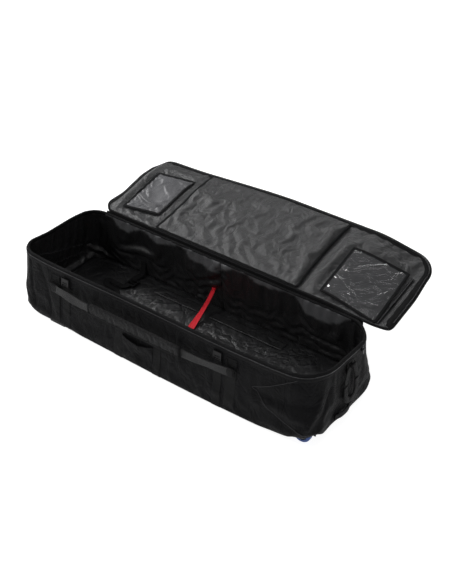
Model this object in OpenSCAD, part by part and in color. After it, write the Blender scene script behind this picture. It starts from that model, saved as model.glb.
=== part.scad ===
// Long wheeled board bag, lying open: a padded fabric tub on two wheels and two feet,
// with a lid that folds back on a fabric hinge along one long side.
// Millimetres. The origin is the centre of the base panel's underside. +X runs towards
// the wheels, -Y is the front with the carry handle, +Z is up. The floor is at -floor_gap.

/* [Tub] */
// Length of the tub at its base
base_l = 1500; // [1480:5:1540]
// Width of the tub at its base
base_w = 498; // [490:1:506]
// Corner radius of the base at the nose end
base_r_nose = 95; // [80:1:110]
// Corner radius of the base at the wheel end
base_r_wheel = 76; // [72:1:80]
// Length of the tub at its rim
rim_l = 1450; // [1440:1:1460]
// Width of the tub at its rim
rim_w = 438; // [430:1:444]
// Corner radius of the rim at the nose end
rim_r_nose = 72; // [60:1:90]
// Corner radius of the rim at the wheel end
rim_r_wheel = 112; // [100:1:120]
// Distance the rim sits nearer the wheels than the base does
rim_shift = 18; // [10:1:22]
// Height of the rim over the underside of the base
rim_h = 274; // [270:1:280]
// Height of the base's underside over the floor
floor_gap = 26; // [24:1:28]

/* [Layers] */
// Thickness of the outer fabric of the walls
skin_t = 2.4; // [1.5:0.1:2.6]
// Thickness of the foam in the walls
foam_t = 5.6; // [4:0.1:5.6]
// Thickness of the inner lining
lining_t = 1.5; // [1:0.1:1.5]
// Thickness of the padded floor
floor_t = 12; // [8:1:13]

/* [Lid] */
// Length of the lid
lid_l = 1429; // [1420:1:1440]
// Width of the lid, hinge to free edge
lid_w = 436; // [430:1:438]
// Distance of the lid's middle from the origin, towards the wheels
lid_x = 42; // [36:1:48]
// Corner radius of the lid at its free edge
lid_r = 98; // [80:1:110]
// Corner radius of the lid beside the hinge
lid_r_hinge = 66; // [50:1:80]
// Angle of the open lid over the horizontal
lid_tilt = 13.6; // [10:0.1:18]
// Thickness of the lid without its trim
lid_t = 10; // [8:0.5:12]

/* [Wheels] */
// Radius of the wheels
wheel_r = 38; // [37:0.5:38]
// Width of the tyres
tyre_w = 28; // [24:1:28]
// Distance of the axles from the middle of the bag, towards the wheel end
wheel_x = 688; // [680:1:688]
// Distance of each wheel's middle from the centre line
wheel_y = 190; // [186:1:190]
// Radius of the axle pins
axle_r = 4; // [3.5:0.1:4.2]
// Running clearance of each pin in what turns on it
pin_gap = 0.06; // [0.04:0.01:0.08]

/* [Straps] */
// Width of the wide outside webbing
web_w = 50; // [40:1:50]
// Width of the carry handle webbing
handle_w = 38; // [30:1:38]
// Thickness of webbing
web_t = 1.6; // [1.2:0.1:2]
// Width of the red webbing
red_w = 32; // [25:1:40]
// Place of the red webbing along the bag
red_x = -40; // [-60:1:-30]
// Place of the black tie-down webbing along the bag
tie_x = -430; // [-440:1:-420]
// Place of the nose-end compression strap along the bag
strap_nose_x = -455; // [-460:1:-450]
// Place of the wheel-end compression strap along the bag
strap_wheel_x = 322; // [318:1:326]
// Place of the carry handles' web nearer the nose, along the bag
handle_web_nose_x = -172; // [-176:1:-168]
// Place of the carry handles' web nearer the wheels, along the bag
handle_web_wheel_x = 27; // [24:1:30]
// Place of the long front handle's nose end along the bag
anchor_nose_x = -515; // [-520:1:-510]
// Place of the long front handle's wheel end along the bag
anchor_wheel_x = 385; // [380:1:390]

/* [Hidden] */

$fn = 48;
corner_steps = 9;
far = 2000;

// Colours
cloth = [0.09, 0.09, 0.1];
cloth_light = [0.26, 0.26, 0.27];
webbing = [0.13, 0.13, 0.14];
plastic = [0.07, 0.07, 0.08];
foam_grey = [0.4, 0.4, 0.42];
steel = [0.7, 0.7, 0.72];
red = [0.62, 0.1, 0.14];
blue = [0.1, 0.28, 0.5];
clear = [0.75, 0.78, 0.8, 0.5];

// Heights in the tub
skin_base_t = 3;
board_t = 4;
pad_z = skin_base_t + board_t;
floor_z = pad_z + floor_t;
binding_h = 10;
wall_top = rim_h - binding_h;
zip_z0 = rim_h - 28;
zip_z1 = wall_top;
zip_t = 1.5;
ply_gap = 0.1;
lined = skin_t + foam_t + lining_t;

// Foot under the nose end, at +Y: its lowest and highest corner
foot_box = [[-582, 191], [-486, 221]];

// Vertical planes where the end panels are sewn to the long panels
nose_seam_x = -634;
wheel_seam_x = 628;

// Hinge of the lid and the heights of the lid's layers over that hinge
hinge_y = rim_w / 2 + 2;
hinge_z = rim_h + 5;
hinge_gap = 3.5;
lid_top = 3;
lid_skin_t = 1.6;
lid_lining_t = 1.4;
lid_edge = 5;

// Wheels and their housings
axle_z = wheel_r - floor_gap;
well_r = wheel_r + 4;
well_w = tyre_w + 5;
housing_t = 4;
hub_r = 25;
hub_w = 24;
bearing_r = 11;
bearing_w = 7;
rivet_r = 2.5;
rivet_places = [[wheel_x - 44, wheel_y - 26], [wheel_x + 20, wheel_y - 26],
    [wheel_x - 44, wheel_y + 26]];

// Webs and handles along the front and the back. A bar carries each end of a handle
handle_web_x = [handle_web_nose_x, handle_web_wheel_x];
anchor_x = [anchor_nose_x, anchor_wheel_x];
wall_lean = atan((base_w - rim_w) / 2 / rim_h);
front_web_top = 160;
bar_r = 3;
bar_y = 236;
bar_z = 195;
back_bar_z = 200;
lug_y = 228.8;
lug_w = 4;
handle_t = 2.4;
grip_y = 258;
grip_box = [[-306, 152], [166, 202]];
grip_t = 19.6;
anchor_eye_l = 36;
back_eye_l = 26;

// Side buckles: a bar in the eye of each compression strap
buckle_z = 207;
buckle_eye_r = 4.5;
buckle_pin_r = 2;
buckle_w = 38;
buckle_h = 33;

// Haul loop on the wheel end
haul_y = 20;
haul_z = 226;
haul_w = 100;
haul_low = 56;
haul_strand = 26;
haul_t = 3;

// Main zip sliders and their tabs
slider_y = 96;
slider_z = 255;
slider_w = 12;
slider_h = 16;
slider_foot = slider_z - slider_h / 2;
slider_pin_r = 1.2;
slider_pin_z = 254;
tab_reach = 12;
tab_l = 20;

// Windows in the lid: lowest and highest corner, along the lid and away from the hinge
left_window_box = [[-578, 75], [-405, 315]];
right_window_box = [[440, 35], [700, 315]];
window_frame = 8;

// Pocket zips in the lid
zip_w = 12;
left_zip_x = left_window_box[0][0] - 1 - zip_w / 2;
right_zip_x = right_window_box[1][0] + 1 + zip_w / 2;
left_slider_s = 179;
right_slider_s = 164;

// Raised seams near the wheels, as [x, z]: their meeting point and their far ends
seam_point = [482, 151];
seam_ends = [[618, 232], [618, 66]];

function mix(a, b, t) = a + (b - a) * t;
function tub_len(z) = mix(base_l, rim_l, z / rim_h);
function tub_wid(z) = mix(base_w, rim_w, z / rim_h);
function tub_mid(z) = mix(0, rim_shift, z / rim_h);
function front_y(z) = tub_wid(z) / 2;
function inner_y(z) = front_y(z) - lined - 0.4;
function end_x(z) = tub_mid(z) + tub_len(z) / 2;
function nose_x(z) = tub_mid(z) - tub_len(z) / 2;
function wall_end(z, s) = [s * inner_y(z), z];
function arc(cx, cy, r, a0) = [for (k = [0:corner_steps])
    let (a = a0 + 90 * k / corner_steps) [cx + r * cos(a), cy + r * sin(a)]];
function rounded(x0, x1, y0, y1, r_hi, r_nose_hi, r_nose_lo, r_lo) = concat(
    arc(x1 - r_hi, y1 - r_hi, r_hi, 0), arc(x0 + r_nose_hi, y1 - r_nose_hi, r_nose_hi, 90),
    arc(x0 + r_nose_lo, y0 + r_nose_lo, r_nose_lo, 180), arc(x1 - r_lo, y0 + r_lo, r_lo, 270));
function tub_outline(z, inset) =
    let (rn = mix(base_r_nose, rim_r_nose, z / rim_h) - inset,
         rw = mix(base_r_wheel, rim_r_wheel, z / rim_h) - inset,
         w = front_y(z) - inset)
    rounded(nose_x(z) + inset, end_x(z) - inset, -w, w, rw, rn, rn, rw);
function lid_outline(inset) =
    rounded(lid_x - lid_l / 2 + inset, lid_x + lid_l / 2 - inset, hinge_gap + inset,
        hinge_gap + lid_w - inset, lid_r - inset, lid_r - inset, lid_r_hinge - inset,
        lid_r_hinge - inset);

// Route of the red strap over the floor and up both walls, as [y, z]
red_path = [wall_end(122, 1), wall_end(112, 1), [206, 92], [150, 62], [90, 36], [36, floor_z + 1.5],
    [0, floor_z], [-212, floor_z], wall_end(44, -1), wall_end(74, -1)];
// Route of the black tie-down strap, as [y, z]
tie_path = [wall_end(92, 1), wall_end(58, 1), [208, floor_z], [-212, floor_z], wall_end(44, -1),
    wall_end(74, -1)];
buckle_y = front_y(buckle_z) + web_t + buckle_eye_r - 0.3;
haul_x = end_x(haul_z) + 9;

// Outline of a strip of thickness t, which lies to the left of its path, or to the right if t < 0
function unit(v) = v / norm(v);
function side(p, i) =
    let (d = unit(p[min(i + 1, len(p) - 1)] - p[max(i - 1, 0)])) [-d[1], d[0]];
function ribbon(p, t) = concat(p, [for (i = [len(p) - 1:-1:0]) p[i] + t * side(p, i)]);

// Solid between two heights, following the tub's outline moved inwards by inset
module loft(z0, z1, inset) {
    low = tub_outline(z0, inset);
    high = tub_outline(z1, inset);
    n = len(low);
    polyhedron(
        points = concat([for (p = low) [p[0], p[1], z0]], [for (p = high) [p[0], p[1], z1]]),
        faces = concat([[for (i = [0:n - 1]) i]], [[for (i = [n - 1:-1:0]) i + n]],
            [for (i = [0:n - 1]) [i, i + n, (i + 1) % n + n]],
            [for (i = [0:n - 1]) [i, (i + 1) % n + n, (i + 1) % n]]));
}

module wall(z0, z1, inset0, inset1) {
    difference() {
        loft(z0, z1, inset0);
        loft(z0 - 1, z1 + 1, inset1);
    }
}

module block(x0, x1, y0, y1, z0, z1) {
    translate([x0, y0, z0]) cube([x1 - x0, y1 - y0, z1 - z0]);
}

// Strip of width w along X, drawn by its [y, z] path
module yz_strip(x, w, path, t) {
    translate([x - w / 2, 0, 0]) rotate([90, 0, 90]) linear_extrude(w) polygon(ribbon(path, t));
}

// Strip of width w along Y, drawn by its [x, z] path
module xz_strip(y, w, path, t) {
    translate([0, y + w / 2, 0]) rotate([90, 0, 0]) linear_extrude(w) polygon(ribbon(path, t));
}

// Strip that stands h high from z0, drawn by its [x, y] path
module xy_strip(z0, h, path, t) {
    translate([0, 0, z0]) linear_extrude(h) polygon(ribbon(path, t));
}

module x_rod(x, y, z, r, l) {
    translate([x - l / 2, y, z]) rotate([0, 90, 0]) cylinder(r = r, h = l);
}

module y_rod(x, y, z, r, l) {
    translate([x, y + l / 2, z]) rotate([90, 0, 0]) cylinder(r = r, h = l);
}

// Both sides: the children and their mirror image across the centre line
module both_sides() {
    children();
    mirror([0, 1, 0]) children();
}

module in_lid() {
    translate([0, hinge_y, hinge_z]) rotate([lid_tilt, 0, 0]) children();
}

// Flat piece of the lid between two heights over the hinge
module lid_slab(z0, z1, inset) {
    in_lid() translate([0, 0, z0]) linear_extrude(z1 - z0) polygon(lid_outline(inset));
}

// Room for the wheel, at +Y
module wheel_well() {
    y_rod(wheel_x, wheel_y, axle_z, well_r, well_w);
    block(wheel_x - well_r, wheel_x + well_r, wheel_y - well_w / 2, wheel_y + well_w / 2,
        -far, axle_z);
}

module rivet_holes() {
    for (p = rivet_places) translate([p[0], p[1], -5]) cylinder(r = rivet_r, h = 20);
}

// Room that the soft layers leave for a wheel housing, at +Y
module housing_room() {
    block(wheel_x - 56, far, wheel_y - 36, far, -1, axle_z + well_r + housing_t + 4);
}

// ---- Tub ----

// Base cloth, pressed in where the webs pass under it, so that they are flush
module base_shell() {
    color(cloth) difference() {
        loft(0, skin_base_t, 0);
        for (x = concat([strap_nose_x, strap_wheel_x], handle_web_x))
            block(x - handle_w / 2, x + handle_w / 2, -far, far, -1, web_t);
        both_sides() {
            wheel_well();
            rivet_holes();
        }
    }
}

module base_board() {
    color(plastic) difference() {
        loft(skin_base_t, skin_base_t + board_t, lined + 0.5);
        both_sides() housing_room();
    }
}

module floor_pad() {
    color(cloth_light) difference() {
        loft(pad_z, floor_z, lined + 0.5);
        both_sides() housing_room();
    }
}

module outer_wall() {
    wall(skin_base_t, wall_top, 0, skin_t);
}

module front_panel() {
    color(cloth) intersection() {
        outer_wall();
        block(nose_seam_x, wheel_seam_x, -far, 0, -1, far);
    }
}

module back_panel() {
    color(cloth) intersection() {
        outer_wall();
        block(nose_seam_x, wheel_seam_x, 0, far, -1, far);
    }
}

module nose_panel() {
    color(cloth) intersection() {
        outer_wall();
        block(-far, nose_seam_x, -far, far, -1, far);
    }
}

module wheel_end_panel() {
    color(cloth) intersection() {
        outer_wall();
        block(wheel_seam_x, far, -far, far, -1, far);
    }
}

module wall_foam() {
    color(foam_grey) difference() {
        wall(skin_base_t, wall_top, skin_t + ply_gap, skin_t + foam_t);
        both_sides() housing_room();
    }
}

module tub_lining() {
    color(cloth) difference() {
        wall(skin_base_t, wall_top, skin_t + foam_t + ply_gap, lined);
        both_sides() housing_room();
    }
}

module rim_binding() {
    color(webbing) wall(wall_top, rim_h, -1.5, lined + 1.5);
}

module tub_zip_tape() {
    color(webbing) intersection() {
        wall(zip_z0, zip_z1, -zip_t, 0);
        block(-far, far, -far, rim_w / 2 - rim_r_nose, -1, far);
    }
}

// Tape sewn to the top of the back wall, which passes outside the rim binding to the lid
module hinge_strip() {
    low = wall_top - 20;
    color(webbing) yz_strip((nose_seam_x + wheel_seam_x) / 2, wheel_seam_x - nose_seam_x,
        [[front_y(low), low], [front_y(wall_top - 2), wall_top - 2],
            [front_y(wall_top) + 1.8, wall_top], [rim_w / 2 + 1.8, rim_h + 2]], -1.2);
}

module nose_feet() {
    color(plastic) both_sides() translate([0, 0, -floor_gap]) linear_extrude(floor_gap)
        polygon(rounded(foot_box[0][0], foot_box[1][0], foot_box[0][1], foot_box[1][1], 12, 12, 12,
            12));
}

// ---- Wheel housings ----

module wheel_housing() {
    arch_r = well_r + housing_t;
    arch_w = well_w + 2 * housing_t;
    difference() {
        union() {
            y_rod(wheel_x, wheel_y, axle_z, arch_r, arch_w);
            block(wheel_x - arch_r, wheel_x + arch_r, wheel_y - arch_w / 2, wheel_y + arch_w / 2,
                skin_base_t, axle_z);
            translate([0, 0, skin_base_t]) linear_extrude(3)
                polygon([[wheel_x - 54, wheel_y - 34], [wheel_x + 30, wheel_y - 34],
                    [wheel_x + 30, wheel_y - 6], [wheel_x - 16, wheel_y + 34],
                    [wheel_x - 54, wheel_y + 34]]);
        }
        // Open at the corner, where the tyre shows; the cheek keeps an ear round the axle
        block(wheel_x + 26, far, wheel_y - well_w / 2 + 0.1, far, -far, axle_z + 14);
        for (s = [-1, 1]) block(wheel_x + s * 33 - 20, wheel_x + s * 33 + 20,
            wheel_y + well_w / 2 - 0.01, far, skin_base_t + 3, axle_z + 12);
        block(0, far, -far, far, -far, skin_base_t);
        wheel_well();
        rivet_holes();
        y_rod(wheel_x, wheel_y, axle_z, axle_r + pin_gap, arch_w + 1);
    }
}

module wheel_housing_front() {
    color(plastic) mirror([0, 1, 0]) wheel_housing();
}

module wheel_housing_back() {
    color(plastic) wheel_housing();
}

module housing_rivets() {
    color(steel) both_sides() for (p = rivet_places) translate([p[0], p[1], 0]) {
        translate([0, 0, -1.2]) cylinder(r = 5, h = 1.2);
        cylinder(r = rivet_r, h = skin_base_t + 3);
        translate([0, 0, skin_base_t + 3]) cylinder(r = 4.5, h = 1.5);
    }
}

module axle() {
    pin_l = well_w + 2 * housing_t;
    y_rod(wheel_x, wheel_y, axle_z, axle_r, pin_l);
    y_rod(wheel_x, wheel_y - pin_l / 2 - 1.5, axle_z, 5.6, 3);
    for (s = [-1, 1]) difference() {
        spacer_l = (well_w - hub_w) / 2 - 0.2;
        y_rod(wheel_x, wheel_y + s * (well_w - spacer_l) / 2, axle_z, 6.5, spacer_l);
        y_rod(wheel_x, wheel_y, axle_z, axle_r, far);
    }
}

module axle_front() {
    color(steel) mirror([0, 1, 0]) axle();
}

module axle_back() {
    color(steel) axle();
}

module wheel_well_covers() {
    top = axle_z + well_r + housing_t + 3;
    color(cloth_light) both_sides() intersection() {
        difference() {
            block(wheel_x - 56, far, wheel_y - 36, far, floor_z, top);
            block(wheel_x - 54.5, far, wheel_y - 34.5, far, -1, top - 1.5);
        }
        loft(0, rim_h, lined + 0.5);
    }
}

module tyre() {
    shoulder = 8;
    color(blue) translate([wheel_x, wheel_y, axle_z]) rotate([90, 0, 0]) rotate_extrude($fn = 96)
        polygon(concat([[hub_r, -tyre_w / 2]],
            [for (a = [-90:15:0]) [wheel_r - shoulder + shoulder * cos(a),
                -tyre_w / 2 + shoulder + shoulder * sin(a)]],
            [for (a = [0:15:90]) [wheel_r - shoulder + shoulder * cos(a),
                tyre_w / 2 - shoulder + shoulder * sin(a)]],
            [[hub_r, tyre_w / 2]]));
}

module hub() {
    color(plastic) difference() {
        y_rod(wheel_x, wheel_y, axle_z, hub_r, hub_w);
        y_rod(wheel_x, wheel_y, axle_z, bearing_r - 3, hub_w + 2);
        for (s = [-1, 1])
            y_rod(wheel_x, wheel_y + s * hub_w / 2, axle_z, bearing_r, 2 * bearing_w);
    }
}

module bearings() {
    color(steel) for (s = [-1, 1]) difference() {
        y_rod(wheel_x, wheel_y + s * (hub_w - bearing_w) / 2, axle_z, bearing_r, bearing_w);
        y_rod(wheel_x, wheel_y, axle_z, axle_r + pin_gap, far);
    }
}

module tyre_front() {
    mirror([0, 1, 0]) tyre();
}

module hub_front() {
    mirror([0, 1, 0]) hub();
}

module bearings_front() {
    mirror([0, 1, 0]) bearings();
}

module tyre_back() {
    tyre();
}

module hub_back() {
    hub();
}

module bearings_back() {
    bearings();
}

// ---- Outside webbing and handles ----

// Web that runs down one long wall, under the base and up the other, to heights z0 and z1
module girth_web(x, w, z0, z1) {
    edge = front_y(web_t);
    yz_strip(x, w, [[-front_y(z0), z0], [-edge, web_t], [edge, web_t], [front_y(z1), z1]], -web_t);
}

// Eye on a strap's end: a sleeve along X with a bore
module eye(x, y, z, r_out, r_in, l) {
    difference() {
        x_rod(x, y, z, r_out, l);
        x_rod(x, y, z, r_in, l + 2);
    }
}

module compression_straps() {
    color(webbing) for (x = [strap_nose_x, strap_wheel_x]) {
        difference() {
            union() {
                girth_web(x, handle_w, buckle_z, buckle_z);
                x_rod(x, -buckle_y, buckle_z, buckle_eye_r, buckle_w - 10);
            }
            x_rod(x, -buckle_y, buckle_z, buckle_pin_r + pin_gap, handle_w);
        }
    }
}

// Bar that a handle's eye turns on, held to the wall by a lug at each end
module handle_bar(x, y_side, z, l) {
    ends = [y_side * lug_y, y_side * (bar_y + bar_r)];
    x_rod(x, y_side * bar_y, z, bar_r, l + 2 * lug_w);
    for (s = [-1, 1]) translate([x + s * (l + lug_w + 2) / 2 - lug_w / 2, 0, 0])
        block(0, lug_w, min(ends), max(ends), z - lug_w, z + lug_w);
}

module handle_webs() {
    color(webbing) for (x = handle_web_x) {
        girth_web(x, handle_w, front_web_top, back_bar_z + 10);
        handle_bar(x, 1, back_bar_z, back_eye_l + 2);
    }
}

module anchor_webs() {
    color(webbing) for (x = anchor_x) {
        yz_strip(x, web_w, [[-front_y(236), 236], [-front_y(4), 4]], -web_t);
        handle_bar(x, -1, bar_z, anchor_eye_l + 2);
    }
}

// Long handle: a flat strap held out from the wall, with an eye at each end
module handle_strap(x0, x1, y_side, z, reach, flat_from, flat_to, eye_l, w) {
    path = [[x0 - eye_l / 2, y_side * (bar_y + 3)], [x0 + eye_l / 2, y_side * (bar_y + 5)],
        [flat_from, y_side * reach], [flat_to, y_side * reach], [x1 - eye_l / 2, y_side * (bar_y + 5)],
        [x1 + eye_l / 2, y_side * (bar_y + 3)]];
    difference() {
        union() {
            xy_strip(z - w, w, path, y_side * handle_t);
            for (x = [x0, x1]) x_rod(x, y_side * bar_y, z, bar_r + 2.2, eye_l);
        }
        for (x = [x0, x1]) x_rod(x, y_side * bar_y, z, bar_r + pin_gap, eye_l + 6);
    }
}

module carry_handle() {
    color(webbing) handle_strap(anchor_x[0], anchor_x[1], -1, bar_z, grip_y, grip_box[0][0] - 24,
        grip_box[1][0] + 34, anchor_eye_l, handle_w);
}

module grip_wrap() {
    color(cloth) difference() {
        translate([0, 0, grip_box[0][1]]) linear_extrude(grip_box[1][1] - grip_box[0][1])
            polygon(rounded(grip_box[0][0], grip_box[1][0], -grip_y + 8.6 - grip_t, -grip_y + 8.6,
                8, 8, 8, 8));
        xy_strip(bar_z - handle_w, handle_w,
            [[grip_box[0][0] - 9, -grip_y], [grip_box[1][0] + 9, -grip_y]], -handle_t);
    }
}

module back_handle() {
    color(webbing) handle_strap(handle_web_x[0], handle_web_x[1], 1, back_bar_z, bar_y + 24,
        handle_web_x[0] + 42, handle_web_x[1] - 42, back_eye_l, 30);
}

module end_handle_anchor() {
    low = haul_z - 36;
    top = zip_z0 - 1;
    lug = haul_strand - 6;
    color(webbing) {
        xz_strip(haul_y, 44, [[end_x(low), low], [end_x(top), top]], -web_t - 1);
        y_rod(haul_x, haul_y, haul_z, bar_r, 44);
        for (s = [-1, 1]) translate([0, haul_y + s * lug - lug_w / 2, 0])
            block(end_x(haul_z) + 1.2, haul_x + bar_r, 0, lug_w, haul_z - lug_w, haul_z + lug_w);
    }
}

// Haul loop: two strands of webbing that join in a wide bend at the bottom
module end_handle() {
    color(webbing) difference() {
        union() {
            translate([haul_x - haul_t / 2, 0, 0]) rotate([90, 0, 90]) linear_extrude(haul_t)
                polygon(rounded(haul_y - haul_w / 2, haul_y + haul_w / 2, haul_low, haul_z - 8,
                    30, 30, 45, 45));
            block(haul_x - haul_t / 2, haul_x + haul_t / 2, haul_y - 17, haul_y + 17, haul_z - 12,
                haul_z);
            y_rod(haul_x, haul_y, haul_z, bar_r + 2, 34);
        }
        y_rod(haul_x, haul_y, haul_z, bar_r + pin_gap, 40);
        translate([haul_x - 5, 0, 0]) rotate([90, 0, 90]) linear_extrude(10)
            polygon(rounded(haul_y - haul_w / 2 + haul_strand, haul_y + haul_w / 2 - haul_strand,
                haul_low + haul_strand, haul_z - 36, 20, 20, 22, 22));
    }
}

// Short webbing handle low on the wheel end, bowed out for a hand
module lower_grab_handle() {
    x = end_x(18) + 0.3;
    color(webbing) xy_strip(18, handle_w - 12, [[x, 40], [x, 28], [x + 14, 6], [x + 16, -15],
        [x + 14, -36], [x, -58], [x, -70]], handle_t);
}

module side_pocket() {
    x0 = handle_web_x[0] + handle_w / 2 + 0.5;
    x1 = handle_web_x[1] - handle_w / 2 - 0.5;
    color(cloth) yz_strip((x0 + x1) / 2, x1 - x0, [[-front_y(108), 108], [-front_y(4), 4]], -1.4);
}

// Two raised seams that meet at a point on the front, near the wheels
module corner_piping() {
    color(webbing) for (end = seam_ends) {
        run = end - seam_point;
        translate([seam_point[0], -front_y(seam_point[1]) - 0.75, seam_point[1]])
            rotate([-wall_lean, 0, 0])
            rotate([0, -atan2(run[1], run[0]), 0]) translate([0, -0.7, -1.5])
            cube([norm(run), 1.4, 3]);
    }
}

// ---- Inside the tub ----

module red_strap() {
    color(red) yz_strip(red_x, red_w, red_path, -web_t);
}

module tie_down_strap() {
    color(webbing) yz_strip(tie_x, 30, tie_path, -web_t);
}

module tie_down_buckle() {
    low = floor_z + web_t + 0.4;
    color(plastic) difference() {
        block(tie_x - 22, tie_x + 22, 118, 164, low, low + 10);
        block(tie_x - 16, tie_x + 16, 124, 158, low - 1, low + 11);
    }
    color(plastic) block(tie_x - 16, tie_x + 16, 138, 144, low, low + 8);
}

module floor_strip() {
    color(webbing) for (ends = [[-318, red_x - red_w / 2 - 4], [red_x + red_w / 2 + 4, 346]])
        block(ends[0], ends[1], 152, 200, floor_z, floor_z + handle_t);
}

// ---- Lid ----

module lid_outer() {
    color(cloth) lid_slab(lid_top - lid_t, lid_top - lid_t + lid_skin_t, lid_edge);
}

module lid_foam() {
    color(foam_grey) lid_slab(lid_top - lid_t + lid_skin_t, lid_top - lid_lining_t, lid_edge);
}

module lid_lining() {
    color(cloth_light) lid_slab(lid_top - lid_lining_t, lid_top, lid_edge);
}

module lid_binding() {
    color(webbing) difference() {
        lid_slab(lid_top - lid_t - 1, lid_top + 1, 0);
        lid_slab(lid_top - lid_t - 2, lid_top + 2, lid_edge);
    }
}

module lid_zip_tape() {
    color(webbing) difference() {
        lid_slab(lid_top, lid_top + 1, lid_edge);
        lid_slab(lid_top - 1, lid_top + 2, lid_edge + 22);
    }
}

module window_plate(box, grow, z0, z1) {
    in_lid() translate([0, 0, z0]) linear_extrude(z1 - z0) polygon(rounded(box[0][0] - grow,
        box[1][0] + grow, box[0][1] - grow, box[1][1] + grow, 5, 5, 5, 5));
}

module left_window() {
    color(clear) window_plate(left_window_box, -window_frame, lid_top, lid_top + 0.6);
}

module right_window() {
    color(clear) window_plate(right_window_box, -window_frame, lid_top, lid_top + 0.6);
}

module window_bindings() {
    color(webbing) for (box = [left_window_box, right_window_box]) difference() {
        window_plate(box, 0, lid_top, lid_top + 1.6);
        window_plate(box, -window_frame, lid_top - 1, lid_top + 3);
    }
}

module centre_panel() {
    color(cloth_light) in_lid() translate([0, 0, lid_top]) linear_extrude(1.2)
        polygon(rounded(-372, 352, 34, 404, 6, 6, 6, 6));
}

module pocket_zip(x, box) {
    in_lid() block(x - zip_w / 2, x + zip_w / 2, box[0][1] + 6, box[1][1] - 6, lid_top,
        lid_top + 1.6);
}

module pocket_zips() {
    color(webbing) {
        pocket_zip(left_zip_x, left_window_box);
        pocket_zip(right_zip_x, right_window_box);
    }
}

module lid_straps() {
    color(webbing) in_lid() for (x = [strap_nose_x, strap_wheel_x])
        block(x - handle_w / 2, x + handle_w / 2, 24, lid_w - 14, lid_top - lid_t - web_t, lid_top - lid_t);
}

module strap_clips() {
    z1 = lid_top - lid_t - web_t;
    color(plastic) in_lid() for (x = [strap_nose_x, strap_wheel_x]) {
        block(x - 20, x + 20, lid_w - 44, lid_w - 28, z1 - 6, z1);
        for (s = [-1, 0, 1]) block(x + s * 14 - 3, x + s * 14 + 3, lid_w - 28, lid_w - 8, z1 - 5, z1 - 1);
    }
}

// ---- Moving trim ----

// Buckle that stands on its web's eye, against the wall
module side_buckle(x) {
    half = buckle_w / 2;
    color(plastic) {
        x_rod(x, -buckle_y, buckle_z, buckle_pin_r, buckle_w);
        translate([0, -buckle_y, buckle_z]) rotate([-wall_lean, 0, 0]) {
            for (s = [-1, 1]) block(x + s * (half - 2) - 2, x + s * (half - 2) + 2, -4, 2.7, -2.7, 12);
            difference() {
                block(x - half, x + half, -4, 3.6, 7, buckle_h);
                block(x - half + 6, x + half - 6, -6, 6, 12, 15.5);
                block(x - half + 5, x + half - 5, -1.8, 1.8, 20, buckle_h + 1);
            }
        }
    }
}

module nose_buckle() {
    side_buckle(strap_nose_x);
}

module wheel_buckle() {
    side_buckle(strap_wheel_x);
}

// Main zip slider on the wheel end's wall
module main_slider(wall_x) {
    low = wall_x + zip_t + 0.6;
    color(plastic) translate([0, slider_y, 0]) {
        block(low, low + 5, -slider_w / 2, slider_w / 2, slider_z - slider_h / 2,
            slider_z + slider_h / 2);
        for (s = [-1, 1]) block(low + 4, wall_x + tab_reach, s * 5 - 0.9, s * 5 + 0.9,
            slider_pin_z - 2, slider_pin_z + 2);
        y_rod(wall_x + tab_reach - 2, 0, slider_pin_z, slider_pin_r, 11);
    }
}

module main_pull(wall_x) {
    color(plastic) translate([wall_x + tab_reach - 2, slider_y, slider_pin_z]) difference() {
        union() {
            y_rod(0, 0, 0, 2.6, 7.6);
            block(-0.9, 0.9, -3.8, 3.8, -tab_l, 0);
        }
        y_rod(0, 0, 0, slider_pin_r + pin_gap, 10);
    }
}

module wheel_end_slider() {
    main_slider(end_x(slider_foot));
}

module wheel_end_pull() {
    main_pull(end_x(slider_foot));
}

module nose_slider() {
    mirror([1, 0, 0]) main_slider(-nose_x(slider_foot));
}

module nose_pull() {
    mirror([1, 0, 0]) main_pull(-nose_x(slider_foot));
}

// Slider of a window pocket, with its tab lying along the zip
module pocket_slider(x, s) {
    z0 = lid_top + 1.9;
    color(plastic) in_lid() {
        block(x - 4.5, x + 4.5, s - 6, s + 6, z0, z0 + 3);
        block(x - 1.5, x + 1.5, s - 3, s + 3, z0 + 2, z0 + 4.5);
        block(x - 3.5, x + 3.5, s - 30, s - 1, z0 + 3.4, z0 + 4.8);
    }
}

module left_pocket_slider() {
    pocket_slider(left_zip_x, left_slider_s);
}

module right_pocket_slider() {
    pocket_slider(right_zip_x, right_slider_s);
}

base_shell();
base_board();
floor_pad();
front_panel();
back_panel();
nose_panel();
wheel_end_panel();
wall_foam();
tub_lining();
rim_binding();
tub_zip_tape();
hinge_strip();
nose_feet();
wheel_housing_front();
wheel_housing_back();
housing_rivets();
axle_front();
axle_back();
wheel_well_covers();
compression_straps();
handle_webs();
anchor_webs();
end_handle_anchor();
lower_grab_handle();
side_pocket();
corner_piping();
red_strap();
tie_down_strap();
tie_down_buckle();
floor_strip();
lid_outer();
lid_foam();
lid_lining();
lid_binding();
lid_zip_tape();
left_window();
right_window();
window_bindings();
centre_panel();
pocket_zips();
lid_straps();
strap_clips();
tyre_front();
hub_front();
bearings_front();
tyre_back();
hub_back();
bearings_back();
carry_handle();
grip_wrap();
back_handle();
end_handle();
nose_buckle();
wheel_buckle();
wheel_end_slider();
wheel_end_pull();
nose_slider();
nose_pull();
left_pocket_slider();
right_pocket_slider();
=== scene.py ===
"""Looks of an open wheeled board bag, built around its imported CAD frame. Metres, in the frame's own axes."""

import math
from itertools import product

import bpy
import numpy as np
from mathutils import Matrix, Vector


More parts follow.
